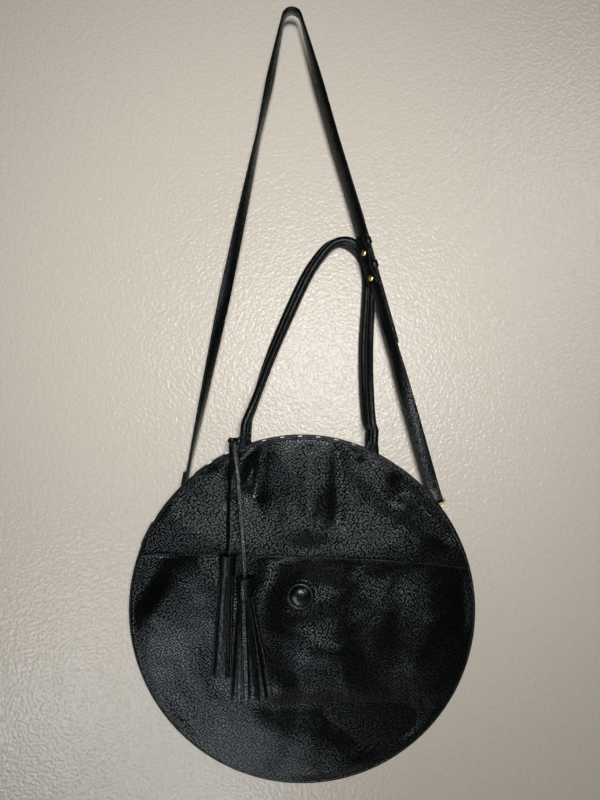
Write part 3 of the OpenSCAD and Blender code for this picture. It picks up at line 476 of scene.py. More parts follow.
def skin(reach, depth_at, thick, middle=(0, 0), rings=64, spokes=320, outward=-1):
    """A disc spun from a line, moved to its outline and surface, and given its thickness inwards"""
    bm = lathe([(i / rings, 0, 0) for i in range(rings + 1)], (0, 1, 0), spokes, merge=True)
    bmesh.ops.remove_doubles(bm, verts=bm.verts, dist=0.00001)
    for vert in bm.verts:
        share, angle = hypot(vert.co.x, vert.co.z), atan2(vert.co.z, vert.co.x)
        far = share * reach(angle)
        x, z = middle[0] + far * cos(angle), middle[1] + far * sin(angle)
        vert.co = (x, depth_at(x, z), z)
    bmesh.ops.recalc_face_normals(bm, faces=bm.faces)
    if sum(f.normal.y for f in bm.faces) * outward < 0:
        bmesh.ops.reverse_faces(bm, faces=bm.faces)
    bmesh.ops.solidify(bm, geom=bm.faces, thickness=thick)
    return bm


def swell(x, z, height):
    return height * (1 - (x * x + z * z) / PANEL_R ** 2)


# %% [markdown]
# The front panel runs from the rim all the way down behind the pocket. Its strongest folds come down from
# the handles' ends, which pull on the rim.

# %% Front panel
def front_surface(x, z):
    fade = calm(x, z, 6) * ease((z - 70) / 26)
    return -(FRONT_FACE + swell(x, z, SWELL) + fade * fold_height(UPPER_FOLDS, x, z)
             + calm(x, z) * ease((z - 60) / 26) * soft(x, z, 3))


bm = skin(lambda angle: SKIN_R, front_surface, SKIN_T)
leather_piece("front_panel_skin", bm, "bag", PANEL_LEATHER, ["front_panel"])

# %% [markdown]
# The pocket is a second skin over the lower two thirds, and swells more than the panel. Its edge stands
# highest a little right of the middle and drops to both seams, so the outline is worked out spoke by spoke
# from a point whose spokes meet the two corners exactly.

# %% Pocket
EDGE_DROP = [(-1, 1), (-0.8, 0.55), (-0.5, 0.18), (-0.2, 0.02), (0.1, 0), (0.45, 0.06), (0.75, 0.4), (1, 1)]
EDGE_HALF, POCKET_TOP, POCKET_DIP, POCKET_FACE = 205, 67.0, 10.0, 27.1
CORNER = (192.6, 58.3)
POCKET_MIDDLE = (0, CORNER[1] - CORNER[0] * tan(radians(31.5)))
SNAP_X, SNAP_Z, SNAP_DENT_R = -3.0, 22.0, 17


def edge_height(x):
    return POCKET_TOP - POCKET_DIP * table(EDGE_DROP, x / EDGE_HALF)


def pocket_reach(angle):
    """Distance from the pocket's middle to the seam or to its edge, whichever comes first"""
    c, s = cos(angle), sin(angle)
    mz = POCKET_MIDDLE[1]
    far = -mz * s + sqrt((mz * s) ** 2 - mz * mz + PANEL_R ** 2)
    if s <= 0:
        return far
    low, high = 0.0, far
    for _ in range(24):
        half = (low + high) / 2
        if mz + half * s > edge_height(half * c):
            high = half
        else:
            low = half
    return high


def pocket_surface(x, z):
    dent = exp(-((hypot(x - SNAP_X, z - SNAP_Z) - SNAP_DENT_R) / 5) ** 2)
    fade = calm(x, z, 12) * ease((edge_height(x) - z) / 10 + 0.35)
    return -(POCKET_FACE + swell(x, z, POCKET_SWELL) + fade * (fold_height(POCKET_FOLDS, x, z) - 1.0 * dent)
             + calm(x, z) * soft(x, z, 11))


bm = skin(pocket_reach, pocket_surface, SKIN_T, POCKET_MIDDLE)
leather_piece("pocket_skin", bm, "bag", PANEL_LEATHER, ["pocket_panel"])

# %% [markdown]
# The pocket's edge is turned over, which makes a thin rounded lip that catches the light.

# %% Pocket edge
LIP_DEPTH, LIP_HEIGHT = Vector((0, 1.35, 0)), Vector((0, 0, 1.25))
edge_line = []
for i in range(121):
    x = mix(-CORNER[0] + 1, CORNER[0] - 1, i / 120)
    z = edge_height(x)
    edge_line.append(Vector((x, pocket_surface(x, z - 1.2) + 0.75, z - 0.9)))
bm = sweep([(p, LIP_DEPTH, LIP_HEIGHT) for p in edge_line], round_outline(16))
leather_piece("pocket_edge", bm, "bag", STRAP_LEATHER, ["pocket_hem"])

# %% [markdown]
# The snap shows as a leather dome with a pressed, stitched ring. A lathe profile spun round its middle
# gives the dome, its groove and the flange that dies into the pocket.

# %% Covered snap
SNAP_SEAT, SEAM_R, SEAM_LIFT = 42.4, 13.9, 2.0
SNAP_PROFILE = [(0, 6.3), (3, 6.2), (6, 5.75), (8.6, 4.9), (10.6, 3.75), (11.9, 2.4), (12.3, 1.6),
                (12.7, 1.35), (13.1, 1.6), (13.9, 1.95), (14.7, 1.7), (15.5, 0.9), (16.4, -0.4), (15.2, -1.4),
                (13.0, 0.6)]
line = spline([(r, h, 0) for r, h in SNAP_PROFILE], 3)
bm = lathe([(SNAP_X + p.x, -(SNAP_SEAT + p.y), SNAP_Z) for p in line], (0, -1, 0), 64,
           cent=(SNAP_X, 0, SNAP_Z), merge=True)
bmesh.ops.remove_doubles(bm, verts=bm.verts, dist=0.0001)
leather_piece("snap_dome", bm, "bag", SNAP_LEATHER, ["snap_cover"])
seam_middle = Vector((SNAP_X, -(SNAP_SEAT + SEAM_LIFT), SNAP_Z))
ring = [(seam_middle + polar(SEAM_R, 5 * i), (0, -1, 0)) for i in range(73)]
stitches("snap_stitches", [ring], "bag", 2.9, (1.9, 0.7, 0.6))

# %% [markdown]
# ## The rims and the gusset
#
# Below the pocket's corners a corded piping covers the seam, and above them a folded strip binds the
# mouth. Both are profiles spun round the bag's middle through part of a turn.

# %% Rims
RIM_R, CORD_R = 203.2, 1.8
BINDING_HALF_R, BINDING_HALF_Y, BINDING_Y = 1.8, 2.2, 23.5
BINDING = [(1, 0.2), (0.92, 0.7), (0.6, 0.95), (0, 1), (-0.6, 0.97), (-1, 0.8), (-1, -0.8), (-0.6, -0.97),
           (0, -1), (0.6, -0.95), (0.92, -0.7), (1, -0.2)]


def spun(profile, start, end, steps, closed=True):
    """A profile of (radius, y) spun round the bag's middle from one angle to another, in degrees"""
    points = [polar(r, start) + Vector((0, y, 0)) for r, y in profile]
    bm = lathe(points, (0, -1, 0), steps, radians(end - start), closed=closed)
    if closed:
        bmesh.ops.holes_fill(bm, edges=[e for e in bm.edges if e.is_boundary], sides=0)
    return bm


for side, label, body in ((-1, "front", "bag"), (1, "back", "back_top")):
    bm = spun([(RIM_R + CORD_R * c, side * FRONT_FACE + CORD_R * s) for c, s in round_outline(14)],
              157.2, 382.8, 226)
    leather_piece(label + "_piping_cord", bm, "bag", STRAP_LEATHER, [label + "_piping"])
    bm = spun([(RIM_R + BINDING_HALF_R * a, side * BINDING_Y + BINDING_HALF_Y * b) for a, b in BINDING],
              22.4, 157.6, 150)
    leather_piece(label + "_rim_binding", bm, body, STRAP_LEATHER, [label + "_mouth_binding"])

# %% [markdown]
# The gusset is the strip between the panels. It sinks a little between its seams and wrinkles across.

# %% Gusset and linings
def strip_between(radius, half, sag, ripple, thick, seed, rows=14):
    bm = spun([(radius, mix(-half, half, i / rows)) for i in range(rows + 1)], 159, 381, 240, closed=False)
    for vert in bm.verts:
        r, a = hypot(vert.co.x, vert.co.z), atan2(vert.co.z, vert.co.x)
        slack = 1 - (vert.co.y / half) ** 2
        wave = (noise.noise(Vector((a * 9, vert.co.y / 40, seed)))
                + 0.5 * noise.noise(Vector((a * 26, vert.co.y / 25, seed))))
        r += slack * (ripple * wave - sag)
        vert.co = (r * cos(a), vert.co.y, r * sin(a))
    bmesh.ops.recalc_face_normals(bm, faces=bm.faces)
    middles = [(f.normal, f.calc_center_median()) for f in bm.faces]
    if sum(n.x * c.x + n.z * c.z for n, c in middles) < 0:
        bmesh.ops.reverse_faces(bm, faces=bm.faces)
    bmesh.ops.solidify(bm, geom=bm.faces, thickness=thick)
    return bm


bm = strip_between(PANEL_R, half=22.3, sag=0.5, ripple=0.7, thick=1.9, seed=2)
leather_piece("gusset_strip", bm, "bag", BODY_LEATHER, ["gusset"])
bm = strip_between(198.8, half=22.3, sag=0.6, ripple=0.5, thick=0.7, seed=5)
piece("gusset_cloth", bm, "bag", CLOTH, ["gusset_lining"])
# The lining's reach from the bag's middle, by angle. Where the binding has pulled away, beyond the left
# rim, its edge comes out and shows as a thin light line
FRONT_REACH = [(24, LINING_R), (30, 201.5), (110, 201.5), (113, 206.3), (130, 206.3), (133, 204.4), (148, 204.4),
               (151, 206.4), (161.5, 207.0), (163, LINING_R)]
BACK_REACH = [(22, LINING_R), (28, 203.7), (152, 203.7), (158, LINING_R)]


def cloth_disc(reach, depth_at, outward):
    return skin(lambda angle: table(reach, degrees(angle) % 360), depth_at, CLOTH_T, rings=36, spokes=240,
                outward=outward)


def front_cloth_surface(x, z):
    return max(-(INSIDE_FACE + swell(x, z, SWELL)), front_surface(x, z) + 3.5)


front_cloth = piece("front_cloth", cloth_disc(FRONT_REACH, front_cloth_surface, -1), "bag", FRONT_CLOTH,
                    ["front_lining"])

# %% [markdown]
# The back panel is one skin too, but the CAD splits it where the mouth folds open. Here it stays whole
# and rides on no body, so it doesn't fold along that line. The back lining's top comes up inside the binding,
# and its white stripes show over the front rim.

# %% Back panel
def back_surface(x, z):
    folds = calm(x, z, 8) * fold_height(BACK_FOLDS, x, z) * 0.8
    return FRONT_FACE + swell(x, z, SWELL) + folds + calm(x, z) * soft(x, z, 31)


bm = skin(lambda angle: SKIN_R, back_surface, SKIN_T, outward=1)
back_panel = piece("back_panel_skin", bm, None, PANEL_LEATHER, ["back_panel_lower", "back_panel_upper"])
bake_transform(back_panel)
bm = cloth_disc(BACK_REACH, lambda x, z: INSIDE_FACE - 0.1 + swell(x, z, SWELL), 1)
back_cloth = piece("back_cloth", bm, None, CLOTH, ["back_lining_lower", "back_lining_upper"])
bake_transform(back_cloth)

# %% [markdown]
# Rectangles of leather inside the mouth carry the pull of the handles, and a leather tab folds round each
# D-ring's bar and is sewn through the gusset's end.

# %% Patches and ring tabs
END_X, END_Z = 77.5, 189.79
PATCH_W, PATCH_T, PATCH_H, PATCH_DROP = 26, 1.5, 34, 13
PATCH_SEAM = [(-10.4, -14.4), (10.4, -14.4), (10.4, 14.4), (-10.4, 14.4), (-10.4, -14.4)]
for side, label, body in ((-1, "front", "bag"), (1, "back", "back_top")):
    bm = bmesh.new()
    rows = []
    for left in (-1, 1):
        block = bmesh.ops.create_cube(bm, size=1)["verts"]
        bmesh.ops.scale(bm, vec=(PATCH_W, PATCH_T, PATCH_H), verts=block)
        middle = Vector((left * END_X, side * (INSIDE_FACE - LAY_GAP - PATCH_T / 2),
                         END_Z - PATCH_DROP - PATCH_H / 2))
        bmesh.ops.translate(bm, vec=middle, verts=block)
        inner = middle - Vector((0, side * (PATCH_T / 2 + 0.1), 0))
        rows.append([(inner + Vector((a, 0, b)), (0, -side, 0)) for a, b in PATCH_SEAM])
    bmesh.ops.bevel(bm, geom=bm.edges[:], offset=0.6, segments=3, profile=0.5, affect="EDGES", material=-1)
    leather_piece(label + "_patch_pair", bm, body, STRAP_LEATHER, [label + "_patches"])
    stitches(label + "_patch_stitches", rows, body, 3.4)

TAB_OUT, TAB_IN, BAR_R, TAB_FOLD_R = 202.15, 196.85, 199.5, 2.65
BAR_ANGLE = degrees(asin(72 / PANEL_R)) + degrees(15.5 / BAR_R)
TAB_TURN = degrees(34 / BAR_R)
for side, label in ((1, "right"), (-1, "left")):
    line = [polar(TAB_OUT, BAR_ANGLE - TAB_TURN * (1 - i / 12)) for i in range(13)]
    line += [polar(BAR_R, BAR_ANGLE) + TAB_FOLD_R * polar(1, BAR_ANGLE + 15 * i) for i in range(1, 12)]
    line += [polar(TAB_IN, BAR_ANGLE - TAB_TURN * i / 12) for i in range(13)]
    bm = sweep(flat_line(line, (0, 1, 0), 0.72, 7), [(b, a) for a, b in STRAP_OUTLINE])
    bmesh.ops.scale(bm, vec=(side, 1, 1), verts=bm.verts)
    leather_piece(label + "_ring_tab_leather", bm, "bag", STRAP_LEATHER, [label + "_ring_tab"])
    rows = []
    for y in (-5.2, 5.2):
        row = []
        for i in range(9):
            out = polar(1, BAR_ANGLE - TAB_TURN * (0.45 + 0.5 * i / 8))
            out.x *= side
            row.append((out * (TAB_OUT + 0.8) + Vector((0, y, 0)), out))
        rows.append(row)
    stitches(label + "_ring_tab_stitches", rows, "bag", 3.2)

# %% [markdown]
# ## The handles
#
# A rolled handle is a strip of leather folded round a cotton rope and sewn along its inner side, where the
# sewn edge stands up as a low ridge. The pair has flopped to the right until it lies behind the strap's
# adjuster. Both ends are pressed flat where they go in under the rim, so the tube's section changes there.

# %% Handles
HANDLE_SHARES = [(-0.965, 0.13), (-0.855, 0.22), (-0.655, 0.41), (-0.42, 0.6), (-0.145, 0.8), (0.04, 0.9),
                 (0.245, 0.976), (0.455, 1), (0.66, 0.98), (0.83, 0.925), (0.915, 0.835), (0.925, 0.71),
                 (0.91, 0.52), (0.91, 0.33), (0.95, 0.15)]
HANDLE_H, HANDLE_R, STUB_H = 261.0, 4.7, 22.0
BEND_Z, FLAT_TO, FLAT_OVER = END_Z + STUB_H, 188, 14
ROPE_R, SEAM_TILT, LIP_TILT = 2.75, radians(-32), 0.15


def handle_points(base_y, top_y, left_share):
    points = [Vector((-END_X, base_y, BEND_Z)), Vector((-END_X * 0.995, base_y, BEND_Z + HANDLE_R))]
    for across, up in HANDLE_SHARES:
        lean = ease((up - STUB_H / HANDLE_H) / (0.7 - STUB_H / HANDLE_H))
        points.append(Vector((END_X * (across - left_share * clamp(2 * up)), mix(base_y, top_y, lean),
                              END_Z + HANDLE_H * up)))
    return points + [Vector((END_X * 0.995, base_y, BEND_Z + HANDLE_R)), Vector((END_X, base_y, BEND_Z))]


def roundness(z):
    """0 where a handle is pressed flat, 1 where it is round"""
    return ease((z - FLAT_TO) / FLAT_OVER)


def tube_stations(line, radius, press=True):
    stations = []
    for i, p in enumerate(line):
        along = heading(line, i)
        across = Vector((0, 1, 0)).cross(along).normalized()
        depth = along.cross(across)
        flat = roundness(p.z) if press else 1
        stations.append((p, across * radius * mix(1.25, 1, flat), depth * radius * mix(0.4, 1, flat)))
    return stations


for label, holder, base_y, top_y, left_share, side in (("front", "bag", -HALF_GUSSET, 17.5, 0, -1),
                                                       ("back", "back_top", HALF_GUSSET, 28.0, 0.075, 1)):
    route = handle_points(base_y, top_y, left_share)
    left_foot = [Vector((-END_X, base_y + side * 0.8 * (1 - roundness(z)), z)) for z in range(176, 207, 6)]
    right_foot = [Vector((-p.x, p.y, p.z)) for p in reversed(left_foot)]
    stations = tube_stations(spline(left_foot + route + right_foot, 6), HANDLE_R)
    bm = sweep(stations, round_outline(20))
    tube = leather_piece(label + "_handle_tube", bm, None, HANDLE_LEATHER,
                         [label + "_handle", label + "_handle_ends"])
    seam, lip = [], []
    for p, across, depth in stations:
        if p.z > 196:
            a, b = across.normalized(), depth.normalized()
            out = a * cos(SEAM_TILT) + b * sin(SEAM_TILT)
            seam.append((p + out * (HANDLE_R + 0.1), out))
            lip.append(p + (a * cos(LIP_TILT) - b * sin(LIP_TILT)) * (HANDLE_R - 0.1))
    bm = sweep(flat_line(lip, (0, 1, 0), 0.9, 0.7), round_outline(8))
    ridge = leather_piece(label + "_handle_seam", bm, None, HANDLE_LEATHER)
    row = stitches(label + "_handle_stitches", [seam], None, 3.6, (2.2, 0.7, 0.6))
    low, high = HUNG @ Vector((0, base_y, 205)), HUNG @ Vector((0, base_y, 219))
    for bent in (tube, ridge, row):
        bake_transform(bent)
    # The rope inside, three strands twisted together
    twisted = []
    for i, (p, across, depth) in enumerate(tube_stations(spline(route[1:-1], 6), ROPE_R, press=False)):
        c, s = cos(i * 0.35), sin(i * 0.35)
        twisted.append((p, across * c + depth * s, depth * c - across * s))
    lobes = []
    for i, (c, s) in enumerate(round_outline(18)):
        bulge = 0.84 + 0.14 * cos(pi * i / 3)
        lobes.append((bulge * c, bulge * s))
    core = piece(label + "_handle_rope", sweep(twisted, lobes), label + "_handle", ROPE, [label + "_handle_core"])

# %% [markdown]
# ## The strap
#
# The strap shows its edge at the top, where it bends over the nail, and its face near the bag, so its
# stations turn about its own length on the way. The upper length runs from the left hook over the nail to
# a cut tail, and the lower length comes up from the right hook to the adjuster.

# %% Strap lengths
STRAP_W, STRAP_T, LAYER, APEX_R = 15.0, 2.6, 2.8, 10.0
RIGHT_EYE, LEFT_EYE = Vector((177.2096, 0, -598.0507)), Vector((-133.0656, 0, -589.3418))
APEX = Vector((0, 0, -APEX_R))
MID_R = APEX_R + STRAP_T / 2


def leg(eye, side):
    v = eye - APEX
    lean = atan2(v.x, -v.z) - side * asin(MID_R / v.length)
    out = side * Vector((cos(lean), 0, sin(lean)))
    down = Vector((sin(lean), 0, -cos(lean)))
    return lean, out, down, APEX + MID_R * out, sqrt(v.length_squared - MID_R ** 2)


R_LEAN, R_OUT, R_DOWN, R_START, R_LEN = leg(RIGHT_EYE, 1)
L_LEAN, L_OUT, L_DOWN, L_START, L_LEN = leg(LEFT_EYE, -1)
RIGHT_TURN = [(0, -90), (0.13, -60), (0.35, -56), (0.42, -50), (0.7, -50), (0.8, -14), (0.93, 0), (1, 0)]
LEFT_TURN = [(0, -90), (0.13, -62), (0.24, -82), (0.43, -50), (0.58, -33), (0.79, -66), (0.93, -90), (1, -90)]
ADJUSTER, STUD, TAIL = 0.452, 0.487, 0.676
LONG_OFFSET = [(0, 0), (0.25, 0), (0.41, 1), (1, 1)]


def faces(out, turn):
    """The strap's width and face directions at a turn in degrees"""
    a = radians(turn)
    y = Vector((0, 1, 0))
    return cos(a) * out + sin(a) * y, -sin(a) * out + cos(a) * y


def strap_station(p, out, turn, offset, half_w=STRAP_W / 2, half_t=STRAP_T / 2):
    width, face = faces(out, turn)
    return (p + face * offset, width * half_w, face * half_t)


def right_station(s, offset=0.0, half_w=STRAP_W / 2):
    return strap_station(R_START + R_DOWN * s * R_LEN, R_OUT, table(RIGHT_TURN, s), offset, half_w)


def left_station(s, offset=0.0):
    return strap_station(L_START + L_DOWN * s * L_LEN, L_OUT, table(LEFT_TURN, s), offset)


# The folded end: how far it stands off the strap's face, and how far above the eye's bar
FOLD_ROUTE = [(0, 15), (-0.7, 9.5), (-2.0, 4.5), (-2.7, 0), (-1.9, -1.9), (0, -2.7), (1.9, -1.9), (2.7, 0),
              (2.75, 5), (2.7, 10), (2.7, 18), (2.7, 27)]


def folded_end(eye, out, down, turn):
    width, face = faces(out, turn)
    line = spline([eye + face * f - down * d for f, d in FOLD_ROUTE], 3)
    return [(p, width * STRAP_W / 2, heading(line, i).cross(width).normalized() * STRAP_T / 2)
            for i, p in enumerate(line)]


def same_hand(stations):
    """Makes every station's half axes turn the same way as the first one's"""
    fixed = [stations[0]]
    for p, a, b in stations[1:]:
        if a.dot(fixed[-1][1]) < 0:
            a = -a
        if b.dot(fixed[-1][2]) < 0:
            b = -b
        fixed.append((p, a, b))
    return fixed


FOLD_FROM = 17
left_fold, right_fold = 1 - FOLD_FROM / L_LEN, 1 - FOLD_FROM / R_LEN
over_nail = []
for i in range(17):
    a = mix(pi + L_LEAN, R_LEAN, i / 16)
    out = Vector((cos(a), 0, sin(a)))
    over_nail.append(strap_station(APEX + MID_R * out, out, -90, 0))
long_stations = list(reversed(folded_end(LEFT_EYE, L_OUT, L_DOWN, -90)))
long_stations += [left_station(left_fold * i / 70) for i in range(70, 0, -1)] + over_nail
long_stations += [right_station(TAIL * i / 56, LAYER * table(LONG_OFFSET, TAIL * i / 56)) for i in range(1, 57)]
bm = sweep(same_hand(long_stations), STRAP_OUTLINE)
leather_piece("long_strap_leather", bm, "strap", STRAP_LEATHER, ["long_strap"], TO_METRES)

lower_stations = [right_station(mix(ADJUSTER, right_fold, i / 60)) for i in range(61)]
lower_stations += folded_end(RIGHT_EYE, R_OUT, R_DOWN, 0)
bm = sweep(same_hand(lower_stations), STRAP_OUTLINE)
leather_piece("lower_strap_leather", bm, "strap", STRAP_LEATHER, ["lower_strap"], TO_METRES)

# %% [markdown]
# Two brass studs hold a tab over the adjuster. The tab rides over the keeper loops, so its edge waves. A box
# of stitches closes each folded end.

# %% Adjuster and stitched ends
KEEPERS = {"fixed_keeper": ("strap", ADJUSTER + 8 / R_LEN), "loose_keeper": ("keeper", STUD + 16 / R_LEN)}
TAB_SEAT, TAB_LEN = STRAP_T / 2 + 1.4 + 0.8, 60.0
KEEPER_AT, STUD_AT = (8, 37.5), (21.5, 53.5)
tab_stations = []
for i in range(41):
    along = mix(-0.5, TAB_LEN + 0.5, i / 40)
    s = ADJUSTER + along / R_LEN
    lift = sum(exp(-((along - k) / 5.5) ** 2) for k in KEEPER_AT)
    pinch = sum(exp(-((along - k) / 6) ** 2) for k in STUD_AT)
    half_w = 7.2 + 0.7 * pinch - 0.9 * lift
    if i < 4:
        half_w *= sqrt(1 - ((4 - i) / 4.6) ** 2)
    tab_stations.append(right_station(s, -(TAB_SEAT + STRAP_T / 2 + 0.9 * lift - 0.2 * pinch), half_w))
bm = sweep(same_hand(tab_stations), STRAP_OUTLINE)
leather_piece("stud_tab_leather", bm, "strap", STRAP_LEATHER, ["stud_tab"], TO_METRES)

KEEPER_HALF_W, KEEPER_LOW, KEEPER_HIGH, KEEPER_CUT = 8.6, -2.4, 5.2, 1.6
for node, (body, s) in KEEPERS.items():
    p, width, face = right_station(s)
    width, face = width.normalized(), face.normalized()
    w0, y0, y1, r = KEEPER_HALF_W, KEEPER_LOW, KEEPER_HIGH, KEEPER_CUT
    corners = [(w0 - r, y0), (w0, y0 + r), (w0, y1 - r), (w0 - r, y1), (-w0 + r, y1), (-w0, y1 - r),
               (-w0, y0 + r), (-w0 + r, y0)]
    loop = []
    for (a, b), (c, d) in zip(corners, corners[1:] + corners[:1]):
        for k in range(4):
            loop.append((mix(a, c, k / 4), mix(b, d, k / 4)))
    loop = [p + width * a + face * b for a, b in loop]
    stations = [(q, R_DOWN * 4.0, heading(loop, k, True).cross(R_DOWN) * 0.72) for k, q in enumerate(loop)]
    bm = sweep(stations, STRAP_OUTLINE, closed=True)
    leather_piece(node + "_leather", bm, body, STRAP_LEATHER, [node], TO_METRES)

BOX_SEAM = [(-5.2, 12.5), (5.2, 12.5), (5.2, 24.5), (-5.2, 24.5), (-5.2, 12.5)]
for label, eye, out, down, turn in (("right", RIGHT_EYE, R_OUT, R_DOWN, 0),
                                    ("left", LEFT_EYE, L_OUT, L_DOWN, -90)):
    width, face = faces(out, turn)
    rows = []
    for side, off in ((-1, -STRAP_T / 2 - 0.15), (1, STRAP_T * 1.5 + 0.15)):
        rows.append([(eye + width * a - down * d + face * off, face * side) for a, d in BOX_SEAM])
    stitches(label + "_end_stitches", rows, "strap", 2.9, (2.5, 1.1, 0.9), TO_METRES)

# %% [markdown]
# ## The lace and its tassels
#
# One lace goes twice round the left handle's end and is knotted in front of the rim. A trefoil is the
# simplest closed line that looks like a tightened knot, so the knot is a tube along one.

# %% Lace loop and knot
KNOT = Vector((-89.6, -30.0, 195.6))
KNOT_REACH, KNOT_DEPTH, KNOT_RISE = 1.5, 1.5, 1.4
bm = bmesh.new()
for low, rise, start, wide in ((194.6, 3.6, 0, 6.7), (203.4, 2.2, 40, 6.6)):
    loop = []
    for i in range(36):
        a = radians(start + 10 * i)
        x, y = wide * cos(a), wide * sin(a)
        left = clamp(-x / wide)
        z = mix(low + rise * x / wide, KNOT.z, 0.55 * ease(left * 1.6 - 0.6))
        pull = ease(left * 2 - 1)
        loop.append(Vector((-END_X + x - 1.6 * pull, -HALF_GUSSET + y - 2.4 * pull, z)))
    sweep(flat_line(loop, (0, 0, 1), 1.5, -1.75, closed=True), round_outline(10), True, bm)
knot_line = []
for i in range(72):
    t = 2 * pi * i / 72
    knot_line.append(KNOT + Vector((KNOT_REACH * (sin(t) + 2 * sin(2 * t)),
                                    KNOT_DEPTH * -sin(3 * t),
                                    KNOT_RISE * (cos(t) - 2 * cos(2 * t)))))
sweep(flat_line(knot_line, (0.3, 1, 0.2), 2.3, -1.9, closed=True), round_outline(12), True, bm)
leather_piece("lace_knot", bm, "bag", TASSEL_LEATHER, ["lace_loop"])

# %% [markdown]
# Two flat ends of the lace hang from the knot, each into a tassel, as free cords 5.6 mm wide. A cap is a
# strip rolled once round the skirt's head, so its outline is a shallow spiral with a step where the roll
# ends. The skirts are fringes cut into strips of about 4 mm, bent and turned one by one.

# %% Laces, caps and skirts
LACE_W, LACE_T, CAP_H, SKIRT, INNER_END = 5.6, 2.0, 22.8, 116.0, 36.0
LACE_OUTLINE = [(1, 0.45), (1, -0.45), (0.72, -1), (0.2, -0.82), (-0.2, -0.82), (-0.72, -1), (-1, -0.45),
                (-1, 0.45), (-0.72, 1), (0, 1), (0.72, 1)]
CAP_PROFILE = [(0.01, 11.0), (4.0, 11.25), (9.2, 11.4), (10.9, 11.2), (11.3, 10.6), (11.1, 9.9), (10.3, 9.5),
               (9.6, 9.0), (9.7, 7), (9.3, 1), (8.9, -5), (8.7, -10.6), (8.5, -11.2), (8.0, -11.4),
               (7.7, -11.2), (7.6, -8)]
STRIP_OUTLINE = [(1, 0.6), (0.9, 1), (-0.9, 1), (-1, 0.6), (-1, -0.6), (-0.9, -1), (0.9, -1), (1, -0.6)]
HEAD_R = 7.3
STRIP_RINGS = ((HEAD_R, 13), (4.9, 9), (2.6, 5))
ROLL_END = radians(-75)


def tassel(label, top, cap, spread, shift, lace_turn, body, seed):
    shares = [i / 26 for i in range(27)]
    end = Vector(cap) + Vector((0, 0, CAP_H / 2 + 0.2))
    line = []
    for s in shares:
        p = Vector(top).lerp(end, s)
        line.append(p + Vector((0.5 * sin(3 * pi * s), LACE_T * sin(pi * s), 0)))
    # The lace's end runs on through the cap into the head of the skirt that is rolled round it
    line += [end - Vector((0, 0, INNER_END * k / 5)) for k in range(1, 6)]
    stations = []
    for s, p in zip(shares + [1] * 5, line):
        turn = radians(lace_turn + 10 * sin(2 * pi * s + seed))
        stations.append((p, Vector((cos(turn), sin(turn), 0)) * LACE_W / 2,
                         Vector((-sin(turn), cos(turn), 0)) * LACE_T / 2))
    bm = sweep(stations, LACE_OUTLINE)
    lace = leather_piece(label + "_lace_leather", bm, body, TASSEL_LEATHER, [label + "_lace"])

    bm = lathe([(r, 0, h) for r, h in CAP_PROFILE], (0, 0, 1), 60)
    for vert in bm.verts:
        # The rolled strip's outer end stands 0.25 mm proud and thins away round the cap
        r = hypot(vert.co.x, vert.co.y)
        if r > 7.5 and vert.co.z < 9:
            a = (atan2(vert.co.y, vert.co.x) - ROLL_END) % (2 * pi)
            vert.co.xy *= 1 + 0.25 * (1 - a / (2 * pi)) / r
    bmesh.ops.remove_doubles(bm, verts=bm.verts, dist=0.02)
    bmesh.ops.translate(bm, vec=cap, verts=bm.verts)
    made_cap = leather_piece(label + "_cap_leather", bm, body, TASSEL_LEATHER, [label + "_tassel_cap"])

    # The fringe is rolled up before it is capped, so its strips face outwards all round
    rng = random.Random(seed)
    bm = bmesh.new()
    low = Vector(cap) - Vector((0, 0, CAP_H / 2))
    for radius, strips in STRIP_RINGS:
        for i in range(strips):
            a = 2 * pi * (i + rng.uniform(-0.22, 0.22)) / strips + seed
            c, t = cos(a), sin(a)
            drop = SKIRT + rng.uniform(-1.4, 0.4)
            reach = c * radius / HEAD_R * spread + rng.uniform(-0.5, 0.5)
            half = rng.uniform(1.75, 2.2)
            spin0, spin1 = rng.uniform(-6, 6), rng.uniform(-22, 22)
            bow, phase = rng.uniform(0.1, 0.6), rng.uniform(0, 6)
            lean = atan2(shift + reach - radius * c, drop)
            stations = []
            for k in range(13):
                s = k / 12
                x = mix(radius * c, shift + reach, s) + bow * sin(5 * s + phase) * s
                y = radius * t * mix(1, 0.8, s) - 1.2 * s
                z = 6 - (drop * cos(lean) + 6) * s
                turn = a + pi / 2 + radians(mix(spin0, spin1, s))
                along = Vector((sin(lean), 0, -cos(lean)))
                wide = Vector((cos(turn) * cos(lean), sin(turn), cos(turn) * sin(lean)))
                stations.append((low + Vector((x, y, z)), wide * half, wide.cross(along).normalized() * 0.6))
            sweep(stations, STRIP_OUTLINE, bm=bm)
    skirt = leather_piece(label + "_skirt_strips", bm, body, TASSEL_LEATHER, [label + "_tassel_skirt"])


tassel("left", (-91.8, -30.2, 192.5), (-87.4, -51.6, 57.6), 11.5, -1.4, -34, "left_tassel", 3)
tassel("right", (-87.0, -30.2, 192.5), (-66.4, -51.6, 33.3), 25.0, 12.4, 8, "right_tassel", 8)

# %% [markdown]
# ## The wall, the floor and the light
#
# The bag hangs against a painted wall with an orange-peel finish. The main light is a small lamp behind the
# camera, a little above it and to its right. Three more lights show only in polished surfaces, as the bright
# parts of a dim room do, and a last one stands behind the wall for the bag's back.

# %% Stage
WALL_Y, FLOOR_Z, SHEET_SIZE = 0.0405, -1.6, 2.4


def staged_sheet(name, place, paint):
    bm = bmesh.new()
    bmesh.ops.create_grid(bm, x_segments=2, y_segments=2, size=SHEET_SIZE)
    bmesh.ops.transform(bm, matrix=place, verts=bm.verts)
    made = new_object(name, bm, paint)
    return made


wall_paint = noisy("wall_paint", (0.462, 0.432, 0.383), (0.504, 0.470, 0.418), 240, (0.26, 0.3), bump=1.15,
                   detail=2)
nodes = wall_paint.node_tree.nodes
shader, here = nodes["Principled BSDF"], nodes["Texture Coordinate"].outputs["Object"]
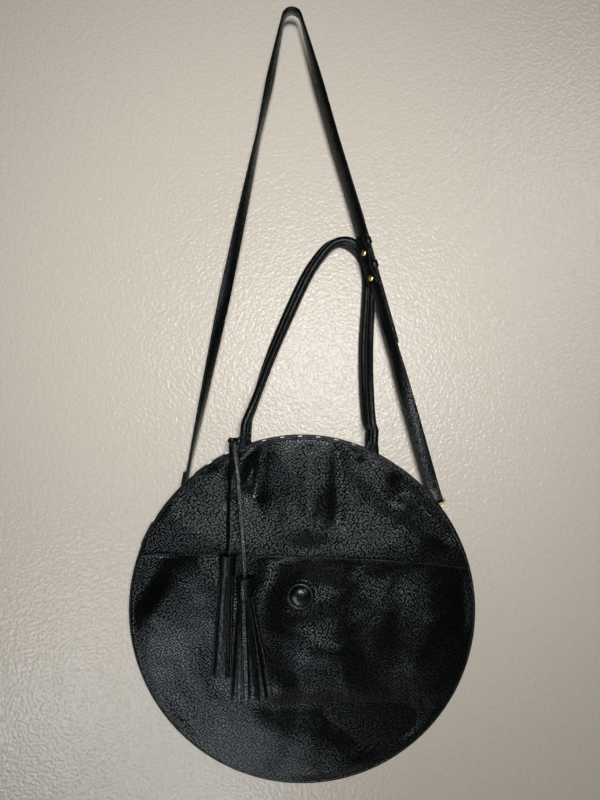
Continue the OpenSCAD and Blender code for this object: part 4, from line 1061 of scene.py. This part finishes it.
# The wall is painted lighter round the bag and darker towards the room's corners, a painted pool of the lamp's
# light
far = add(nodes, "VectorMath", "Value", {0: here, 1: (-0.12, WALL_Y, -0.28)}, operation="DISTANCE")
painted_glow = ramp(nodes, far, (1.2, 0.75), (0.1, 0.95), interpolation_type="SMOOTHSTEP")
wall_with_painted_glow = add(nodes, "Mix", "Result", {"Factor": 1, "A": nodes["Mix"].outputs["Result"], "B": painted_glow},
             data_type="RGBA", blend_type="MULTIPLY")
feed(shader, {"Specular IOR Level": 0.26, "Base Color": wall_with_painted_glow})
# Seen from behind, the wall lets the back of the bag be looked at
shown = add(nodes, "MixShader", "Shader", {
    "Fac": add(nodes, "NewGeometry", "Backfacing"), 1: shader.outputs["BSDF"],
    2: add(nodes, "BsdfTransparent", "BSDF")})
feed(nodes["Material Output"], {"Surface": shown})
upright = Matrix.Rotation(radians(90), 4, "X")
wall = staged_sheet("wall", Matrix.Translation((0, WALL_Y, -0.5)) @ upright, wall_paint)
floor_paint = noisy("floor_paint", (0.62, 0.6, 0.57), (0.66, 0.64, 0.61), 30, (0.7, 0.85), bump=0.2)
staged_sheet("floor", Matrix.Translation((0, 0, FLOOR_Z)), floor_paint)


def area_light(name, at, look, power, size, colour, shadow=True):
    data = bpy.data.lights.new(name, "AREA")
    data.energy, data.size, data.color = power, size, colour
    data.use_shadow = shadow
    light = bpy.data.objects.new(name, data)
    light.location = at
    light.rotation_euler = (Vector(look) - Vector(at)).to_track_quat("-Z", "Y").to_euler()
    bpy.context.collection.objects.link(light)
    return light


area_light("lamp", (0.095, -1.2, -0.36), (0.03, 0, -0.45), 17, 0.2, (1.0, 0.985, 0.955))
# These are only seen in what is polished
for light in (area_light("window", (1.25, -1.5, 0.35), (0.0, 0, -0.55), 14, 0.6, (1.0, 0.98, 0.95)),
              area_light("low", (-0.75, -1.2, -1.45), (-0.1, 0, -0.8), 12, 0.3, (0.97, 0.98, 1.0), False),
              area_light("floor_glow", (-0.2, -0.65, -1.55), (-0.1, 0, -0.9), 5, 0.3, (0.95, 0.98, 1.0), False)):
    light.visible_diffuse = False
# The back of the bag is lit through the wall, which hides this light from the front
wall.visible_shadow = False
area_light("behind", (0.2, 1.5, -0.25), (0, 0, -0.6), 20, 0.9, (1.0, 0.98, 0.95))
world = bpy.data.worlds.new("room")
world.use_nodes = True
feed(world.node_tree.nodes["Background"], {"Color": (0.9, 0.88, 0.85, 1), "Strength": 0.05})
bpy.context.scene.world = world
print("stage set")
